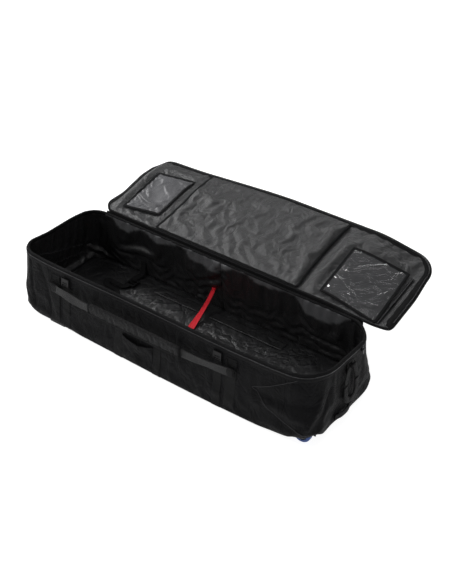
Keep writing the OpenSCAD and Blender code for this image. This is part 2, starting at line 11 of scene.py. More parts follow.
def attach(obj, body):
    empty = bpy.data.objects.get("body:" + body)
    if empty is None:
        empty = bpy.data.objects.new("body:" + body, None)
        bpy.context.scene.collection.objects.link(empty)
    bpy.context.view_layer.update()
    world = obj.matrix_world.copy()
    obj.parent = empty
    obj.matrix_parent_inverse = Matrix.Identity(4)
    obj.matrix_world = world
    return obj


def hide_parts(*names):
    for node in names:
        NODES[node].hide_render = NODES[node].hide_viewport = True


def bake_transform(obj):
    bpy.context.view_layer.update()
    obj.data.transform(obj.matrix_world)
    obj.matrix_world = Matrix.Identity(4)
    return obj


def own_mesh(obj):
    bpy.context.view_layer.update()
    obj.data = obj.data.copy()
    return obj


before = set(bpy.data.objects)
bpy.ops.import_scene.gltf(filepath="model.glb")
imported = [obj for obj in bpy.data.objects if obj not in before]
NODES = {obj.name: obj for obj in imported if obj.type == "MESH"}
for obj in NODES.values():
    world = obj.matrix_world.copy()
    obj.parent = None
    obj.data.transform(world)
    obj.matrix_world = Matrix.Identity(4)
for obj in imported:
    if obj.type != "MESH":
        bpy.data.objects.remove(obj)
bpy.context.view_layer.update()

# ---- The CAD part's dimensions ----
BASE_L, BASE_W = 1.5, 0.498
RIM_L, RIM_W, RIM_H = 1.45, 0.438, 0.274
RIM_SHIFT = 0.018  # how far the rim's middle lies towards the wheel end
CORNERS = {"nose": (0.095, 0.072), "wheel": (0.076, 0.112)}  # radii at the base and at the rim
SEAM_X = {"nose": 0.634, "wheel": 0.628}  # where the end panels meet the long ones
PANELS = {"front": 1.262, "wheel": 0.78, "back": 1.262, "nose": 0.8}  # lengths along the wall
WALL_TOP = 0.264
LINED = 0.0095  # from the wall's outside to its lining's CAD face
FLOOR_Z = 0.019
GROUND = -0.026
LID_L, LID_W, LID_X = 1.429, 0.436, 0.042
LID_R, LID_R_HINGE = 0.098, 0.066
HINGE_Y, HINGE_Z, HINGE_GAP = 0.221, 0.279, 0.0035
TILT = math.radians(13.6)
WHEEL_X, WHEEL_Y = 0.688, 0.19
STRAP_X = (-0.455, 0.322)  # compression straps
HANDLE_X = (-0.172, 0.027)  # handle webs
ANCHOR_X = (-0.515, 0.385)  # anchor webs of the carry handle
RED_X, RED_W = -0.04, 0.032
TIE_X, TIE_W = -0.43, 0.03
BAR_Y, BAR_Z, BACK_BAR_Z, BAR_R = 0.236, 0.195, 0.2, 0.003  # the bars that the two handles turn on
HAUL_X, HAUL_Y, HAUL_Z = 0.753226, 0.02, 0.226  # the haul loop's bar

# ---- Noise ----
_table = np.random.RandomState(11)
_perm = np.tile(_table.permutation(256), 3)
_grad = _table.normal(size=(256, 3))
_grad /= np.linalg.norm(_grad, axis=1)[:, None]


def perlin(p):
    """Smooth noise, about -0.6 to 0.6, at points p (..., 3)."""
    cell = np.floor(p).astype(int)
    f = p - cell
    u = f * f * f * (f * (f * 6 - 15) + 10)
    total = np.zeros(p.shape[:-1])
    for step in product((0, 1), repeat=3):
        h = _perm[(cell[..., 0] + step[0]) & 255]
        h = _perm[h + ((cell[..., 1] + step[1]) & 255)]
        g = _grad[_perm[h + ((cell[..., 2] + step[2]) & 255)]]
        total += np.where(step, u, 1 - u).prod(-1) * (g * (f - step)).sum(-1)
    return total


def flat_noise(x, y, scale, seed=0.0):
    """Two octaves of noise over a plane, stretched by scale (x, y) in metres a wave."""
    x, y = np.broadcast_arrays(x, y)
    p = np.stack([x / scale[0], y / scale[1], np.full(x.shape, seed)], -1)
    return perlin(p) + 0.5 * perlin(p * 2.0 + 17.3)


def smooth(a, b, x):
    """0 at a, 1 at b, with level ends."""
    t = np.clip((x - a) / (b - a), 0, 1)
    return t * t * (3 - 2 * t)


def plateau(x, a, b, ramp):
    """1 between a and b, falling to 0 over a ramp inside each."""
    return np.minimum(smooth(a, a + ramp, x), smooth(b, b - ramp, x))


def arch(x, a, b):
    """A bulge between a and b, 1 in the middle."""
    return np.sin(math.pi * np.clip((x - a) / (b - a), 0, 1)) ** 2


def mix(a, b, t):
    """a at t = 0, b at t = 1."""
    return a + (b - a) * t


# ---- Where the tub's surfaces are ----
def front_y(z):
    """Half the tub's width at height z."""
    return mix(BASE_W, RIM_W, z / RIM_H) / 2


def end_reach(end, z, inset):
    """How far an end of the tub is from the middle, at height z."""
    return mix(BASE_L, RIM_L, z / RIM_H) / 2 + (1 if end == "wheel" else -1) * RIM_SHIFT * z / RIM_H - inset


def end_curve(end, f, z, inset):
    """Point at share f of the way round an end of the tub, from its -Y seam to its +Y seam."""
    z, inset, f = np.broadcast_arrays(z, inset, f)
    r = np.maximum(mix(*CORNERS[end], z / RIM_H) - inset, 0.004)
    w = front_y(z) - inset
    a, b, c = end_reach(end, z, inset) - r - SEAM_X[end], r * math.pi / 2, 2 * (w - r)
    s = f * (2 * a + 2 * b + c)
    side = np.where(s <= a + b + c / 2, -1.0, 1.0)
    s = np.where(side < 0, s, 2 * a + 2 * b + c - s)
    turn = np.clip((s - a) / b, 0, 1) * math.pi / 2
    x = SEAM_X[end] + np.minimum(s, a) + r * np.sin(turn)
    y = w - r + r * np.cos(turn) - np.maximum(s - a - b, 0)
    return np.stack([x * (1 if end == "wheel" else -1), side * y, z], -1)


def tub_point(panel, f, z, inset):
    """Point of a panel of the tub, going anticlockwise seen from above as f goes from 0 to 1."""
    if panel in SEAM_X:
        return end_curve(panel, f if panel == "wheel" else 1 - f, z, inset)
    z, inset, f = np.broadcast_arrays(z, inset, f)
    across = front_y(z) - inset
    if panel == "front":
        return np.stack([mix(-SEAM_X["nose"], SEAM_X["wheel"], f), -across, z], -1)
    return np.stack([mix(SEAM_X["wheel"], -SEAM_X["nose"], f), across, z], -1)


def belly_at(x):
    """How far the middle of the base hangs below its ends."""
    t = np.clip((x + 0.44) / 1.08, 0, 1)
    return -0.011 * np.sin(math.pi * t**1.25)


def rim_shift(p):
    """How the soft tub at p (..., 3) stands off its CAD shape: bowed rims, moved corners, a hanging base."""
    x, y, z = p[..., 0], p[..., 1], p[..., 2]
    nose_end, wheel_end, near = smooth(-0.5, -0.7, x), smooth(0.6, 0.72, x), smooth(-0.06, -0.17, y)
    near_nose = nose_end * near * smooth(0.05, 0.27, z)
    crest = smooth(-0.56, -0.69, x) * smooth(0.225, 0.06, y) * smooth(-0.34, -0.08, y) * smooth(0.08, 0.27, z)
    near_wheel = smooth(0.5, 0.68, x) * near * smooth(0.1, 0.27, z)
    far_wheel = wheel_end * smooth(0.115, 0.2, y) * smooth(0.02, 0.17, z)
    low_wheel = wheel_end * smooth(-0.075, -0.17, y) * smooth(0.2, 0.09, z)
    lift = smooth(0.6, 0.74, x) * smooth(0.11, 0.21, np.abs(y)) * smooth(0.07, 0.0, z)
    tuck = smooth(-0.62, -0.72, x) * smooth(0.11, 0.0, z)
    bow = 0.007 * arch(x, -0.42, 0.28) + 0.005 * arch(x, 0.36, 0.66)
    bow = bow * smooth(0.1, 0.26, z) * smooth(0.19, 0.215, -y)
    dip = 0.004 * arch(x, -0.4, 0.28) * smooth(0.2, 0.27, z) * smooth(0.17, 0.21, -y)
    along = -0.01 * near_nose + 0.027 * tuck - 0.008 * near_wheel - 0.012 * far_wheel + 0.007 * low_wheel
    up = 0.004 * near_nose + 0.014 * crest + 0.006 * near_wheel + 0.021 * lift - dip
    return np.stack([along, bow + 0.01 * near_wheel, up + belly_at(x) * smooth(0.07, 0.0, z)], -1)


# ---- Where the open lid is ----
def in_lid(x, s, t):
    """Point of the flat lid: x along it, s away from the hinge, t over its lining's plane."""
    x, s, t = np.broadcast_arrays(x, s, t)
    c, d = math.cos(TILT), math.sin(TILT)
    return np.stack([x, HINGE_Y + s * c - t * d, HINGE_Z + s * d + t * c], -1)


S0, S1 = HINGE_GAP, HINGE_GAP + LID_W
LID_UP = in_lid(0.0, 0.0, 1.0) - in_lid(0.0, 0.0, 0.0)


def lid_reach(s, inset):
    """Half length of the lid at distance s from the hinge."""
    half = LID_L / 2 - inset
    for r, into in ((LID_R_HINGE - inset, s - S0 - inset), (LID_R - inset, S1 - inset - s)):
        half = half - r + np.sqrt(np.maximum(r**2 - np.clip(r - into, 0, r) ** 2, 0))
    return half


def lid_droop(x, s):
    """How far the soft lid sags below its plane: at its far nose corner, nose edge and past the wheel end."""
    far_nose = smooth(0.1, -0.45, x) * np.clip((s - 0.27) / 0.17, 0, 1) ** 1.2
    wheel_end = smooth(0.46, 0.76, x) * smooth(-0.02, 0.05, s)
    nose_edge = smooth(-0.61, -0.67, x) * smooth(0.02, 0.16, s)
    ripple = 0.002 * np.sin(5.1 * x + 0.7) * smooth(0.15, 0.44, s)
    return -(0.038 * far_nose + 0.046 * wheel_end + 0.022 * nose_edge) - ripple


def on_lid(x, s, t):
    """Point of the sagging lid, whose ends and far edge are drawn in a little."""
    tuck = 0.007 * smooth(-0.6, -0.66, x) + 0.012 * smooth(0.715, 0.75, x) * smooth(0.36, 0.2, s)
    short = 0.012 * smooth(-0.25, -0.6, x) * smooth(0.33, 0.44, s)
    return in_lid(x + tuck, s - short, t + lid_droop(x, s))


def lid_axes(x, s):
    """Unit axes of the sagging lid at a place: along its length, away from the hinge, and up."""
    a = on_lid(x + 0.005, s, 0.0) - on_lid(x - 0.005, s, 0.0)
    b = on_lid(x, s + 0.005, 0.0) - on_lid(x, s - 0.005, 0.0)
    a, b = a / np.linalg.norm(a), b / np.linalg.norm(b)
    return np.array([a, b, np.cross(a, b)])


# ---- Cloth that settles ----
DAMPING = 0.92  # share of its speed that a point keeps
WEIGHT = 0.00012  # how far a point falls in a step, under a pull of 1
ROUNDS = 5  # times the links are put right in a step


def normals(p):
    """Unit normals of a grid (n, m, 3): the cross product of its first direction and its second."""
    n = np.cross(np.gradient(p, axis=0), np.gradient(p, axis=1))
    return n / np.maximum(np.linalg.norm(n, axis=-1, keepdims=True), 1e-12)


def edges_of(shape):
    """A mask of a grid's outermost rows and columns."""
    edge = np.ones(shape, bool)
    edge[1:-1, 1:-1] = False
    return edge


def relax(p, step, length, stiff, only_push):
    """Moves neighbours that are step apart on the grid towards their length."""
    di, dj = step
    n, m = p.shape[:2]
    for odd in (0, 1):
        if di:
            i = slice(odd, n - di, 2 if di == 1 else 1)
            a = (i, slice(max(0, -dj), m - max(0, dj)))
        else:
            a = (slice(0, n), slice(odd, m - dj, 2 if dj == 1 else 1))
        b = (
            slice(a[0].start + di, a[0].stop + di, a[0].step),
            slice(a[1].start + dj, a[1].stop + dj, a[1].step),
        )
        d = p[b] - p[a]
        now = np.sqrt((d * d).sum(-1)) + 1e-9
        off = (now - length[a]) / now
        if only_push:
            off = np.minimum(off, 0)
        d *= (0.5 * stiff * off)[..., None]
        if not (di == 1 or (di == 0 and dj == 1)):
            d = 0.5 * d
        p[a] += d
        p[b] -= d


def settle(base, out, grow, low, high, pin=None, pull=-1.0, steps=40, seed=1, drift=0.02, bend=0.35):
    """Lets a cloth with slack buckle and hang against its base surface. grow is its slack along both
    directions of the grid, and low and high are how far it may stand off the base along out. Its edges
    are held, unless pin is given, and pull is the weight along Z."""
    rng = np.random.RandomState(seed)
    n, m = base.shape[:2]
    pin = edges_of((n, m)) if pin is None else pin
    grow_u, grow_v = (np.broadcast_to(np.asarray(g, float), (n, m)) for g in grow)
    low, high = (np.broadcast_to(np.asarray(g, float), (n, m)) for g in (low, high))
    links = []
    for step, stiff, push in (((1, 0), 1, False), ((0, 1), 1, False), ((1, 1), 0.4, False),
                              ((1, -1), 0.4, False), ((2, 0), bend, True), ((0, 2), bend, True)):
        di, dj = step
        i, j = np.meshgrid(np.arange(n - di), np.arange(max(0, -dj), m - max(0, dj)), indexing="ij")
        g = grow_u if dj == 0 else grow_v if di == 0 else (grow_u + grow_v) / 2
        length = np.zeros((n, m))
        length[i, j] = np.linalg.norm(base[i + di, j + dj] - base[i, j], axis=-1) * g[i, j]
        links.append((step, length, stiff, push))
    i, j = np.meshgrid(np.arange(n) / 8.0, np.arange(m) / 6.0, indexing="ij")
    start = perlin(np.stack([i, j, np.full((n, m), seed * 3.7)], -1))
    start = np.clip(start * 1.5 + 0.35, low / 0.01, high / 0.01) * 0.004 + rng.normal(0, 0.0002, (n, m))
    p = base + out * start[..., None]
    last = p.copy()
    weight = np.array((0, 0, pull)) * WEIGHT
    for _ in range(steps):
        speed = (p - last) * DAMPING
        last = p.copy()
        p = p + (speed + weight) * ~pin[..., None]
        for _ in range(ROUNDS):
            for link in links:
                relax(p, *link)
            off = p - base
            d = (off * out).sum(-1, keepdims=True)
            along = off - d * out
            along *= np.minimum(1, drift / (np.linalg.norm(along, axis=-1, keepdims=True) + 1e-9))
            p = base + along + np.clip(d, low[..., None], high[..., None]) * out
            p[pin] = base[pin]
    return p


# ---- Meshes ----
ON_LID = []  # the pieces that ride on the lid


def make(name, verts, faces, finish, body, uv=None, slot=None, replaces=()):
    """A piece from its points and faces, with the body it rides on and the CAD nodes it stands for."""
    mesh = bpy.data.meshes.new(name)
    points = np.asarray(verts, float).reshape(-1, 3).tolist()
    mesh.from_pydata(points, [], [tuple(map(int, f)) for f in faces])
    mesh.validate()
    mesh.polygons.foreach_set("use_smooth", [True] * len(mesh.polygons))
    if uv is not None:
        layer = mesh.uv_layers.new(name="cloth")
        corner = np.zeros(len(mesh.loops), int)
        mesh.loops.foreach_get("vertex_index", corner)
        layer.data.foreach_set("uv", np.asarray(uv, np.float32).reshape(-1, 2)[corner].ravel())
    o = bpy.data.objects.new(name, mesh)
    bpy.context.scene.collection.objects.link(o)
    mesh.materials.append(finish)
    if body:
        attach(o, body)
    if body == "lid":
        ON_LID.append(o)
    if replaces:
        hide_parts(*replaces)
    return o


def bake(o):
    """Replaces a piece's mesh with what its modifiers make of it."""
    bpy.context.view_layer.update()
    solid = bpy.data.meshes.new_from_object(o.evaluated_get(bpy.context.evaluated_depsgraph_get()))
    o.modifiers.clear()
    o.data = solid


def quads(n, m, wrap=False, flip=False):
    """Faces of a grid of n by m points, joined round its first direction if wrap is set."""
    i, j = np.meshgrid(np.arange(n if wrap else n - 1), np.arange(m - 1), indexing="ij")
    k = (i + 1) % n
    f = np.stack([i * m + j, k * m + j, k * m + j + 1, i * m + j + 1], -1).reshape(-1, 4)
    return f[:, ::-1] if flip else f


def distances(path):
    """How far along a path each of its points is."""
    return np.concatenate([[0], np.cumsum(np.linalg.norm(np.diff(path, axis=0), axis=-1))])


def rows_at(at, known, rows):
    """Rows interpolated at the places at, given the place known of each row."""
    return np.stack([np.interp(at, known, column) for column in rows.T], -1)


def cloth(name, p, finish, body, thick, subdivide=1, flip=False, keep=None, **more):
    """A sheet from a grid of points, subdivided and given its thickness on the side away from its normal."""
    n, m = p.shape[:2]
    uv = np.stack(np.meshgrid(distances(p[:, m // 2]), distances(p[n // 2]), indexing="ij"), -1)
    faces = quads(n, m, flip=flip)
    o = make(name, p, keep(p, faces) if keep else faces, finish, body, uv=uv, **more)
    mod = o.modifiers.new("finer", "SUBSURF")
    mod.levels = mod.render_levels = subdivide
    mod = o.modifiers.new("thickness", "SOLIDIFY")
    mod.thickness, mod.offset = thick, -1
    return o


def frames(path, side, closed=False):
    """Tangent, side and normal at each point of a path, whose side vectors are roughly given."""
    t = np.roll(path, -1, axis=0) - np.roll(path, 1, axis=0) if closed else np.gradient(path, axis=0)
    t = t / (np.linalg.norm(t, axis=1)[:, None] + 1e-12)
    s = np.broadcast_to(np.asarray(side, float), path.shape)
    s = s - (s * t).sum(-1, keepdims=True) * t
    s = s / (np.linalg.norm(s, axis=1)[:, None] + 1e-12)
    return t, s, np.cross(s, t)


def resample(path, gap):
    """The path with its points about gap apart."""
    path = np.asarray(path, float)
    d = distances(path)
    return rows_at(np.linspace(0, d[-1], max(3, int(round(d[-1] / gap)) + 1)), d, path)


def curve(points, gap):
    """Smooth Catmull-Rom curve through the points, sampled every gap metres."""
    p = np.asarray(points, float)
    p = np.vstack([2 * p[0] - p[1], p, 2 * p[-1] - p[-2]])
    t = np.linspace(0, 1, 12, endpoint=False)[:, None]
    out = []
    for a, b, c, d in zip(p[:-3], p[1:-2], p[2:-1], p[3:]):
        bent = (c - a) * t + (2 * a - 5 * b + 4 * c - d) * t**2 + (3 * b - a - 3 * c + d) * t**3
        out.append(0.5 * (2 * b + bent))
    return resample(np.vstack(out + [p[-2:-1]]), gap)


def sweep(path, side, outline, closed=False):
    """Vertices, faces and UVs of an outline [(across, up)] swept along a path."""
    path = np.asarray(path, float)[:-1] if closed else np.asarray(path, float)
    _, s, up = frames(path, side, closed)
    o = np.asarray(outline, float)
    p = path[:, None] + (o[None, :, 0, None] * s[:, None] + o[None, :, 1, None] * up[:, None])
    n, m = p.shape[:2]
    i, j = np.meshgrid(np.arange(n if closed else n - 1), np.arange(m), indexing="ij")
    a, b = (i + 1) % n, (j + 1) % m
    f = np.stack([i * m + j, i * m + b, a * m + b, a * m + j], -1).reshape(-1, 4).tolist()
    if not closed:
        f += [list(range(m))[::-1], list(range((n - 1) * m, n * m))]
    uv = np.stack(np.broadcast_arrays(distances(path)[:, None], o[None, :, 0]), -1)
    return p.reshape(-1, 3), f, uv.reshape(-1, 2)


def band(width, thick, bump=0.0):
    """Cross-section of a webbing, with rounded edges and a slightly raised middle."""
    w, h = width / 2, thick / 2
    top = [(x * w, h * (1 + bump * (1 - x * x))) for x in (-0.94, -0.5, 0, 0.5, 0.94)]
    bottom = [(x * w, -h) for x in (0.94, 0.5, 0, -0.5, -0.94)]
    return [(-w, 0)] + top + [(w, 0)] + bottom


def rod(r, sides):
    """Cross-section of a round bar or thread."""
    return [(r * math.cos(a), r * math.sin(a)) for a in np.linspace(0, 2 * math.pi, sides, endpoint=False)]


class Pile:
    """Several swept pieces gathered in one mesh."""

    def __init__(self):
        self.v, self.f, self.uv, self.n = [], [], [], 0

    def add(self, v, f, uv=None):
        v = np.asarray(v, float).reshape(-1, 3)
        self.v.append(v)
        self.f += [[i + self.n for i in face] for face in f]
        self.uv.append(np.zeros((len(v), 2)) if uv is None else uv)
        self.n += len(v)

    def sweep(self, path, side, outline, closed=False):
        self.add(*sweep(path, side, outline, closed))

    def block(self, centre, axes, size, bevel=0.25):
        """A box with cut corners: its centre, three axes and half sizes."""
        a, b, h = size
        cut = bevel * min(a, b)
        ring = [(a - cut, b), (a, b - cut), (a, cut - b), (a - cut, -b)]
        ring += [(-x, -y) for x, y in ring]
        layers = ((-h, 0.86), (-h * 0.8, 1), (h * 0.8, 1), (h, 0.86))
        pts = [(x * k, y * k, z) for z, k in layers for x, y in ring]
        f = [[8 * r + i, 8 * r + (i + 1) % 8, 8 * r + 8 + (i + 1) % 8, 8 * r + 8 + i]
             for r in range(3) for i in range(8)]
        f += [list(range(7, -1, -1)), list(range(24, 32))]
        self.add(np.asarray(centre) + np.asarray(pts) @ np.asarray(axes, float), f)

    def teeth(self, path, up, side, size, pitch=0.0036):
        """Moulded zip teeth along a path."""
        up, side = (np.broadcast_to(v, path.shape) for v in (up, side))
        line = resample(np.hstack([path, up, side]), pitch)
        for here, ahead in zip(line[:-1], line[1:]):
            d = ahead[:3] - here[:3]
            self.block(here[:3], [d / (np.linalg.norm(d) + 1e-12), here[6:9], here[3:6]], size, 0.4)

    def make(self, name, finish, body, **more):
        return make(name, np.vstack(self.v), self.f, finish, body, uv=np.vstack(self.uv), **more)


# ---- Materials ----
def mix_colours(tree, share, plain, other):
    """A socket whose colour goes from the socket plain to the colour other with share."""
    node = tree.nodes.new("ShaderNodeMix")
    node.data_type = "RGBA"
    factor, first, second = (node.inputs[k] for k in (0, 6, 7))
    second.default_value = (*other, 1)
    tree.links.new(share, factor)
    tree.links.new(plain, first)
    return node.outputs[2]


def material(name, colour, rough, specular, sheen=0.0, metal=0.0, vary=0.2, weave=None, wrinkle=None,
             grain=None, alpha=1.0, lint=0.0):
    """A Principled surface with procedural colour variation, and creases, weave and grain as bumps.
    weave is (pitch, height) along the cloth's own UVs, wrinkle and grain are (scale per metre, height)."""
    m = bpy.data.materials.new(name)
    m.use_nodes = True
    new, link = m.node_tree.nodes.new, m.node_tree.links.new
    shader = m.node_tree.nodes["Principled BSDF"]
    for key, value in {"Roughness": rough, "Specular IOR Level": specular, "Metallic": metal,
                       "Sheen Weight": sheen, "Sheen Roughness": 0.5, "Alpha": alpha}.items():
        shader.inputs[key].default_value = value
    place = new("ShaderNodeTexCoord")
    bump = None

    def noise(scale, detail, **more):
        node = new("ShaderNodeTexNoise")
        for key, value in dict(Scale=scale, Detail=detail, **more).items():
            node.inputs[key].default_value = value
        link(place.outputs["Object"], node.inputs["Vector"])
        return node.outputs["Fac"]

    def add_bump(height, distance):
        nonlocal bump
        node = new("ShaderNodeBump")
        node.inputs["Distance"].default_value = distance
        link(height, node.inputs["Height"])
        if bump:
            link(bump.outputs["Normal"], node.inputs["Normal"])
        bump = node

    def maths(kind, *values):
        node = new("ShaderNodeMath")
        node.operation = kind
        for k, value in enumerate(values):
            if isinstance(value, (int, float)):
                node.inputs[k].default_value = value
            else:
                link(value, node.inputs[k])
        return node.outputs[0]

    ramp = new("ShaderNodeValToRGB")
    low, high = ramp.color_ramp.elements
    low.position, high.position = 0.3, 0.72
    low.color = [c * (1 - vary) for c in colour] + [1]
    high.color = [min(1, c * (1 + vary)) for c in colour] + [1]
    link(noise(9, 4, Roughness=0.6), ramp.inputs["Fac"])
    last = ramp.outputs["Color"]
    if lint:
        rare = new("ShaderNodeMapRange")
        rare.inputs["From Min"].default_value, rare.inputs["From Max"].default_value = 0.66, 0.8
        rare.inputs["To Max"].default_value = lint
        link(noise(260, 3), rare.inputs["Value"])
        last = mix_colours(m.node_tree, rare.outputs["Result"], last, (0.3, 0.3, 0.3))
    link(last, shader.inputs["Base Color"])
    if wrinkle:
        ridge = maths("ABSOLUTE", maths("SUBTRACT", noise(wrinkle[0], 3, Distortion=0.6), 0.5))
        add_bump(maths("POWER", ridge, 0.7), wrinkle[1])
    if weave:
        uv = new("ShaderNodeUVMap")
        uv.uv_map = "cloth"
        parts = new("ShaderNodeSeparateXYZ")
        link(uv.outputs["UV"], parts.inputs[0])
        waves = [maths("SINE", maths("MULTIPLY", parts.outputs[k], 2 * math.pi / weave[0])) for k in (0, 1)]
        add_bump(maths("MULTIPLY", *waves), weave[1])
    if grain:
        add_bump(noise(grain[0], 2), grain[1])
    if bump:
        link(bump.outputs["Normal"], shader.inputs["Normal"])
    return m


WEBBING = (0.0022, 0.0004)
FINE = (0.0011, 0.0001)
BLACK = material("outer cloth", (0.005, 0.005, 0.0056), 0.6, 0.07, sheen=0.01, vary=0.3,
                 weave=(0.0016, 0.0002), wrinkle=(16, 0.012), lint=0.03)
LINING = material("dark lining", (0.0105, 0.0105, 0.0112), 0.36, 0.48, vary=0.25, weave=FINE,
                  wrinkle=(9, 0.009), grain=(60, 0.0004), lint=0.04)
GREY = material("lid lining", (0.0205, 0.0207, 0.0219), 0.36, 0.42, weave=FINE,
                wrinkle=(13, 0.01), grain=(45, 0.0014), lint=0.03)
# the carry strap's webbing is painted lighter than the other webbing: painted sheen for the highlights on its
# twists
STRAP_WITH_PAINTED_SHEEN = material("handle webbing", (0.0115, 0.0115, 0.012), 0.5, 0.22, sheen=0.02, weave=WEBBING, lint=0.03)
WEB = material("webbing", (0.0052, 0.0052, 0.0056), 0.62, 0.1, sheen=0.01, weave=WEBBING, lint=0.03)
TAPE = material("binding tape", (0.007, 0.007, 0.0075), 0.7, 0.08, sheen=0.01, weave=(0.0014, 0.0002),
                lint=0.04)
ZIP = material("zip tape", (0.0065, 0.0065, 0.007), 0.7, 0.08, sheen=0.01, weave=(0.0012, 0.0002))
TEETH = material("zip teeth", (0.016, 0.016, 0.018), 0.35, 0.45, vary=0.1)
PLASTIC = material("black plastic", (0.006, 0.006, 0.0065), 0.42, 0.17, vary=0.15, grain=(900, 0.00012))
SLIDER = material("slider metal", (0.045, 0.045, 0.048), 0.32, 0.5, metal=0.9, vary=0.1)
STEEL = material("steel", (0.42, 0.42, 0.43), 0.28, 0.5, metal=1.0, vary=0.08, grain=(700, 0.00006))
RED = material("red webbing", (0.72, 0.018, 0.032), 0.6, 0.2, sheen=0.05, weave=WEBBING, lint=0.03)
VINYL = material("clear vinyl", (0.1, 0.1, 0.105), 0.1, 0.5, vary=0.1, wrinkle=(10, 0.004), alpha=0.3)
HAZE = material("milky vinyl", (0.17, 0.17, 0.18), 0.34, 0.4, wrinkle=(8, 0.004), alpha=0.42)
TYRE = material("blue tyre", (0.004, 0.042, 0.2), 0.42, 0.4, vary=0.15, grain=(500, 0.0002))
PALE = material("grey thread", (0.035, 0.035, 0.037), 0.6, 0.2, vary=0.1)
WRAP = material("grip cloth", (0.0075, 0.0075, 0.008), 0.7, 0.14, sheen=0.05, weave=(0.0016, 0.0002),
                wrinkle=(20, 0.006), lint=0.03)
LINING_SEAM = material("seam thread", (0.045, 0.045, 0.047), 0.6, 0.2, vary=0.1)


# ---- The tub's outer cloth, one strip settled all the way round ----
def columns(order, gap):
    """Panel names and shares of each column of a strip that goes through the panels in order."""
    out = []
    for panel, f0, f1 in order:
        n = max(4, int(round(PANELS[panel] * abs(f1 - f0) / gap)))
        out += [(panel, f) for f in np.linspace(f0, f1, n, endpoint=False)]
    out.append((order[-1][0], order[-1][2]))
    return out


def surface(cols, z, inset):
    """Grid of tub points: z and inset are (columns, rows) or (rows,)."""
    z = np.broadcast_to(z, (len(cols), np.shape(z)[-1]))
    inset = np.broadcast_to(inset, z.shape)
    out = np.zeros(z.shape + (3,))
    for panel in PANELS:
        k = [i for i, c in enumerate(cols) if c[0] == panel]
        if k:
            f = np.array([cols[i][1] for i in k])[:, None]
            out[k] = tub_point(panel, f, z[k], inset[k])
    return out


F0 = SEAM_X["nose"]  # distance round the tub to the middle of its front
W0 = PANELS["front"]  # and to the start of its wheel end


def girth(cols):
    """Distance round the tub from the nose seam of its front, growing towards the wheel end."""
    start = {"front": 0.0, "wheel": W0, "back": W0 + PANELS["wheel"], "nose": -PANELS["nose"]}
    return np.array([start[p] + f * PANELS[p] for p, f in cols])


def crease(u, z, line, depth, width):
    """Push in (or out, with a negative depth) along a line of (u, z) points."""
    line = np.asarray(line, float)
    far = np.full(np.broadcast(u, z).shape, 1e9)
    for a, b in zip(line[:-1], line[1:]):
        d = b - a
        t = np.clip(((u - a[0]) * d[0] + (z - a[1]) * d[1]) / (d @ d), 0, 1)
        far = np.minimum(far, np.hypot(u - a[0] - t * d[0], z - a[1] - t * d[1]))
    return -depth * np.exp(-((far / width) ** 2))


GAP = 0.0085  # between the points of the tub's cloths
CREASES = [  # points at (distance round the tub, height), depth and width
    ([(F0 + 0.5, 0.146), (F0 + 0.626, 0.147), (F0 + 0.7, 0.16), (F0 + 0.79, 0.153)], 0.007, 0.01),
    ([(F0 + 0.52, 0.175), (F0 + 0.63, 0.195), (F0 + 0.7, 0.215)], -0.006, 0.022),
    ([(F0 + 0.56, 0.118), (F0 + 0.64, 0.112), (F0 + 0.73, 0.105)], -0.006, 0.022),
    ([(W0 + 0.28, 0.237), (W0 + 0.213, 0.186), (W0 + 0.162, 0.149), (W0 + 0.115, 0.073)], -0.006, 0.014),
    ([(W0 + 0.25, 0.18), (W0 + 0.2, 0.12), (W0 + 0.16, 0.06)], 0.005, 0.015),
    ([(F0 - 0.598, 0.24), (F0 - 0.55, 0.124), (F0 - 0.531, 0.05)], 0.005, 0.009),
    ([(F0 - 0.56, 0.24), (F0 - 0.52, 0.124), (F0 - 0.505, 0.05)], -0.005, 0.016),
    ([(-0.02, 0.24), (-0.015, 0.127), (0.0, 0.06)], 0.004, 0.008),
    ([(-0.11, 0.23), (-0.1, 0.12), (-0.085, 0.05)], 0.004, 0.01),
    ([(-0.19, 0.22), (-0.18, 0.05)], 0.004, 0.012),
]
ORDER = [("back", 0.5, 1.0), ("nose", 0.0, 1.0), ("front", 0.0, 1.0), ("wheel", 0.0, 1.0), ("back", 0.0, 0.5)]
COLS = columns(ORDER, GAP)
PANEL_OF = np.array([c[0] for c in COLS])
ON = {panel: (PANEL_OF == panel)[:, None] for panel in PANELS}
U = girth(COLS)[:, None]
XY = surface(COLS, np.array([0.1]), 0.0)[:, 0]
COL_X, COL_Y = XY[:, :1], XY[:, 1:2]

# the edge round the base is sharp along the front, soft at the nose and softest in the corners
into = np.maximum(np.hstack([COL_X - 0.64, np.abs(COL_Y) - 0.14]), 1e-6)
corner = smooth(0.1, 0.9, 2 * into[:, 0] * into[:, 1] / (into**2).sum(-1))[:, None]
along_front = (COL_Y < 0) * smooth(-0.5, -0.36, COL_X) * smooth(0.62, 0.5, COL_X)
rho = mix(mix(0.028, 0.014, along_front), 0.052, corner)
rho = mix(rho, 0.046, smooth(-0.6, -0.68, COL_X))
arc = np.linspace(0, math.pi / 2, 7)[None]
rise = np.linspace(0, 1, int(round(0.24 / GAP)) + 1)[None, 1:]
TOP = WALL_TOP + 0.002
Z = np.hstack([rho * (1 - np.cos(arc)), rho + (TOP - rho) * rise])
wall = surface(COLS, Z, np.hstack([rho * (1 - np.sin(arc)), 0 * rho * rise]))
wall = wall + rim_shift(wall)
OUTWARD = normals(wall)

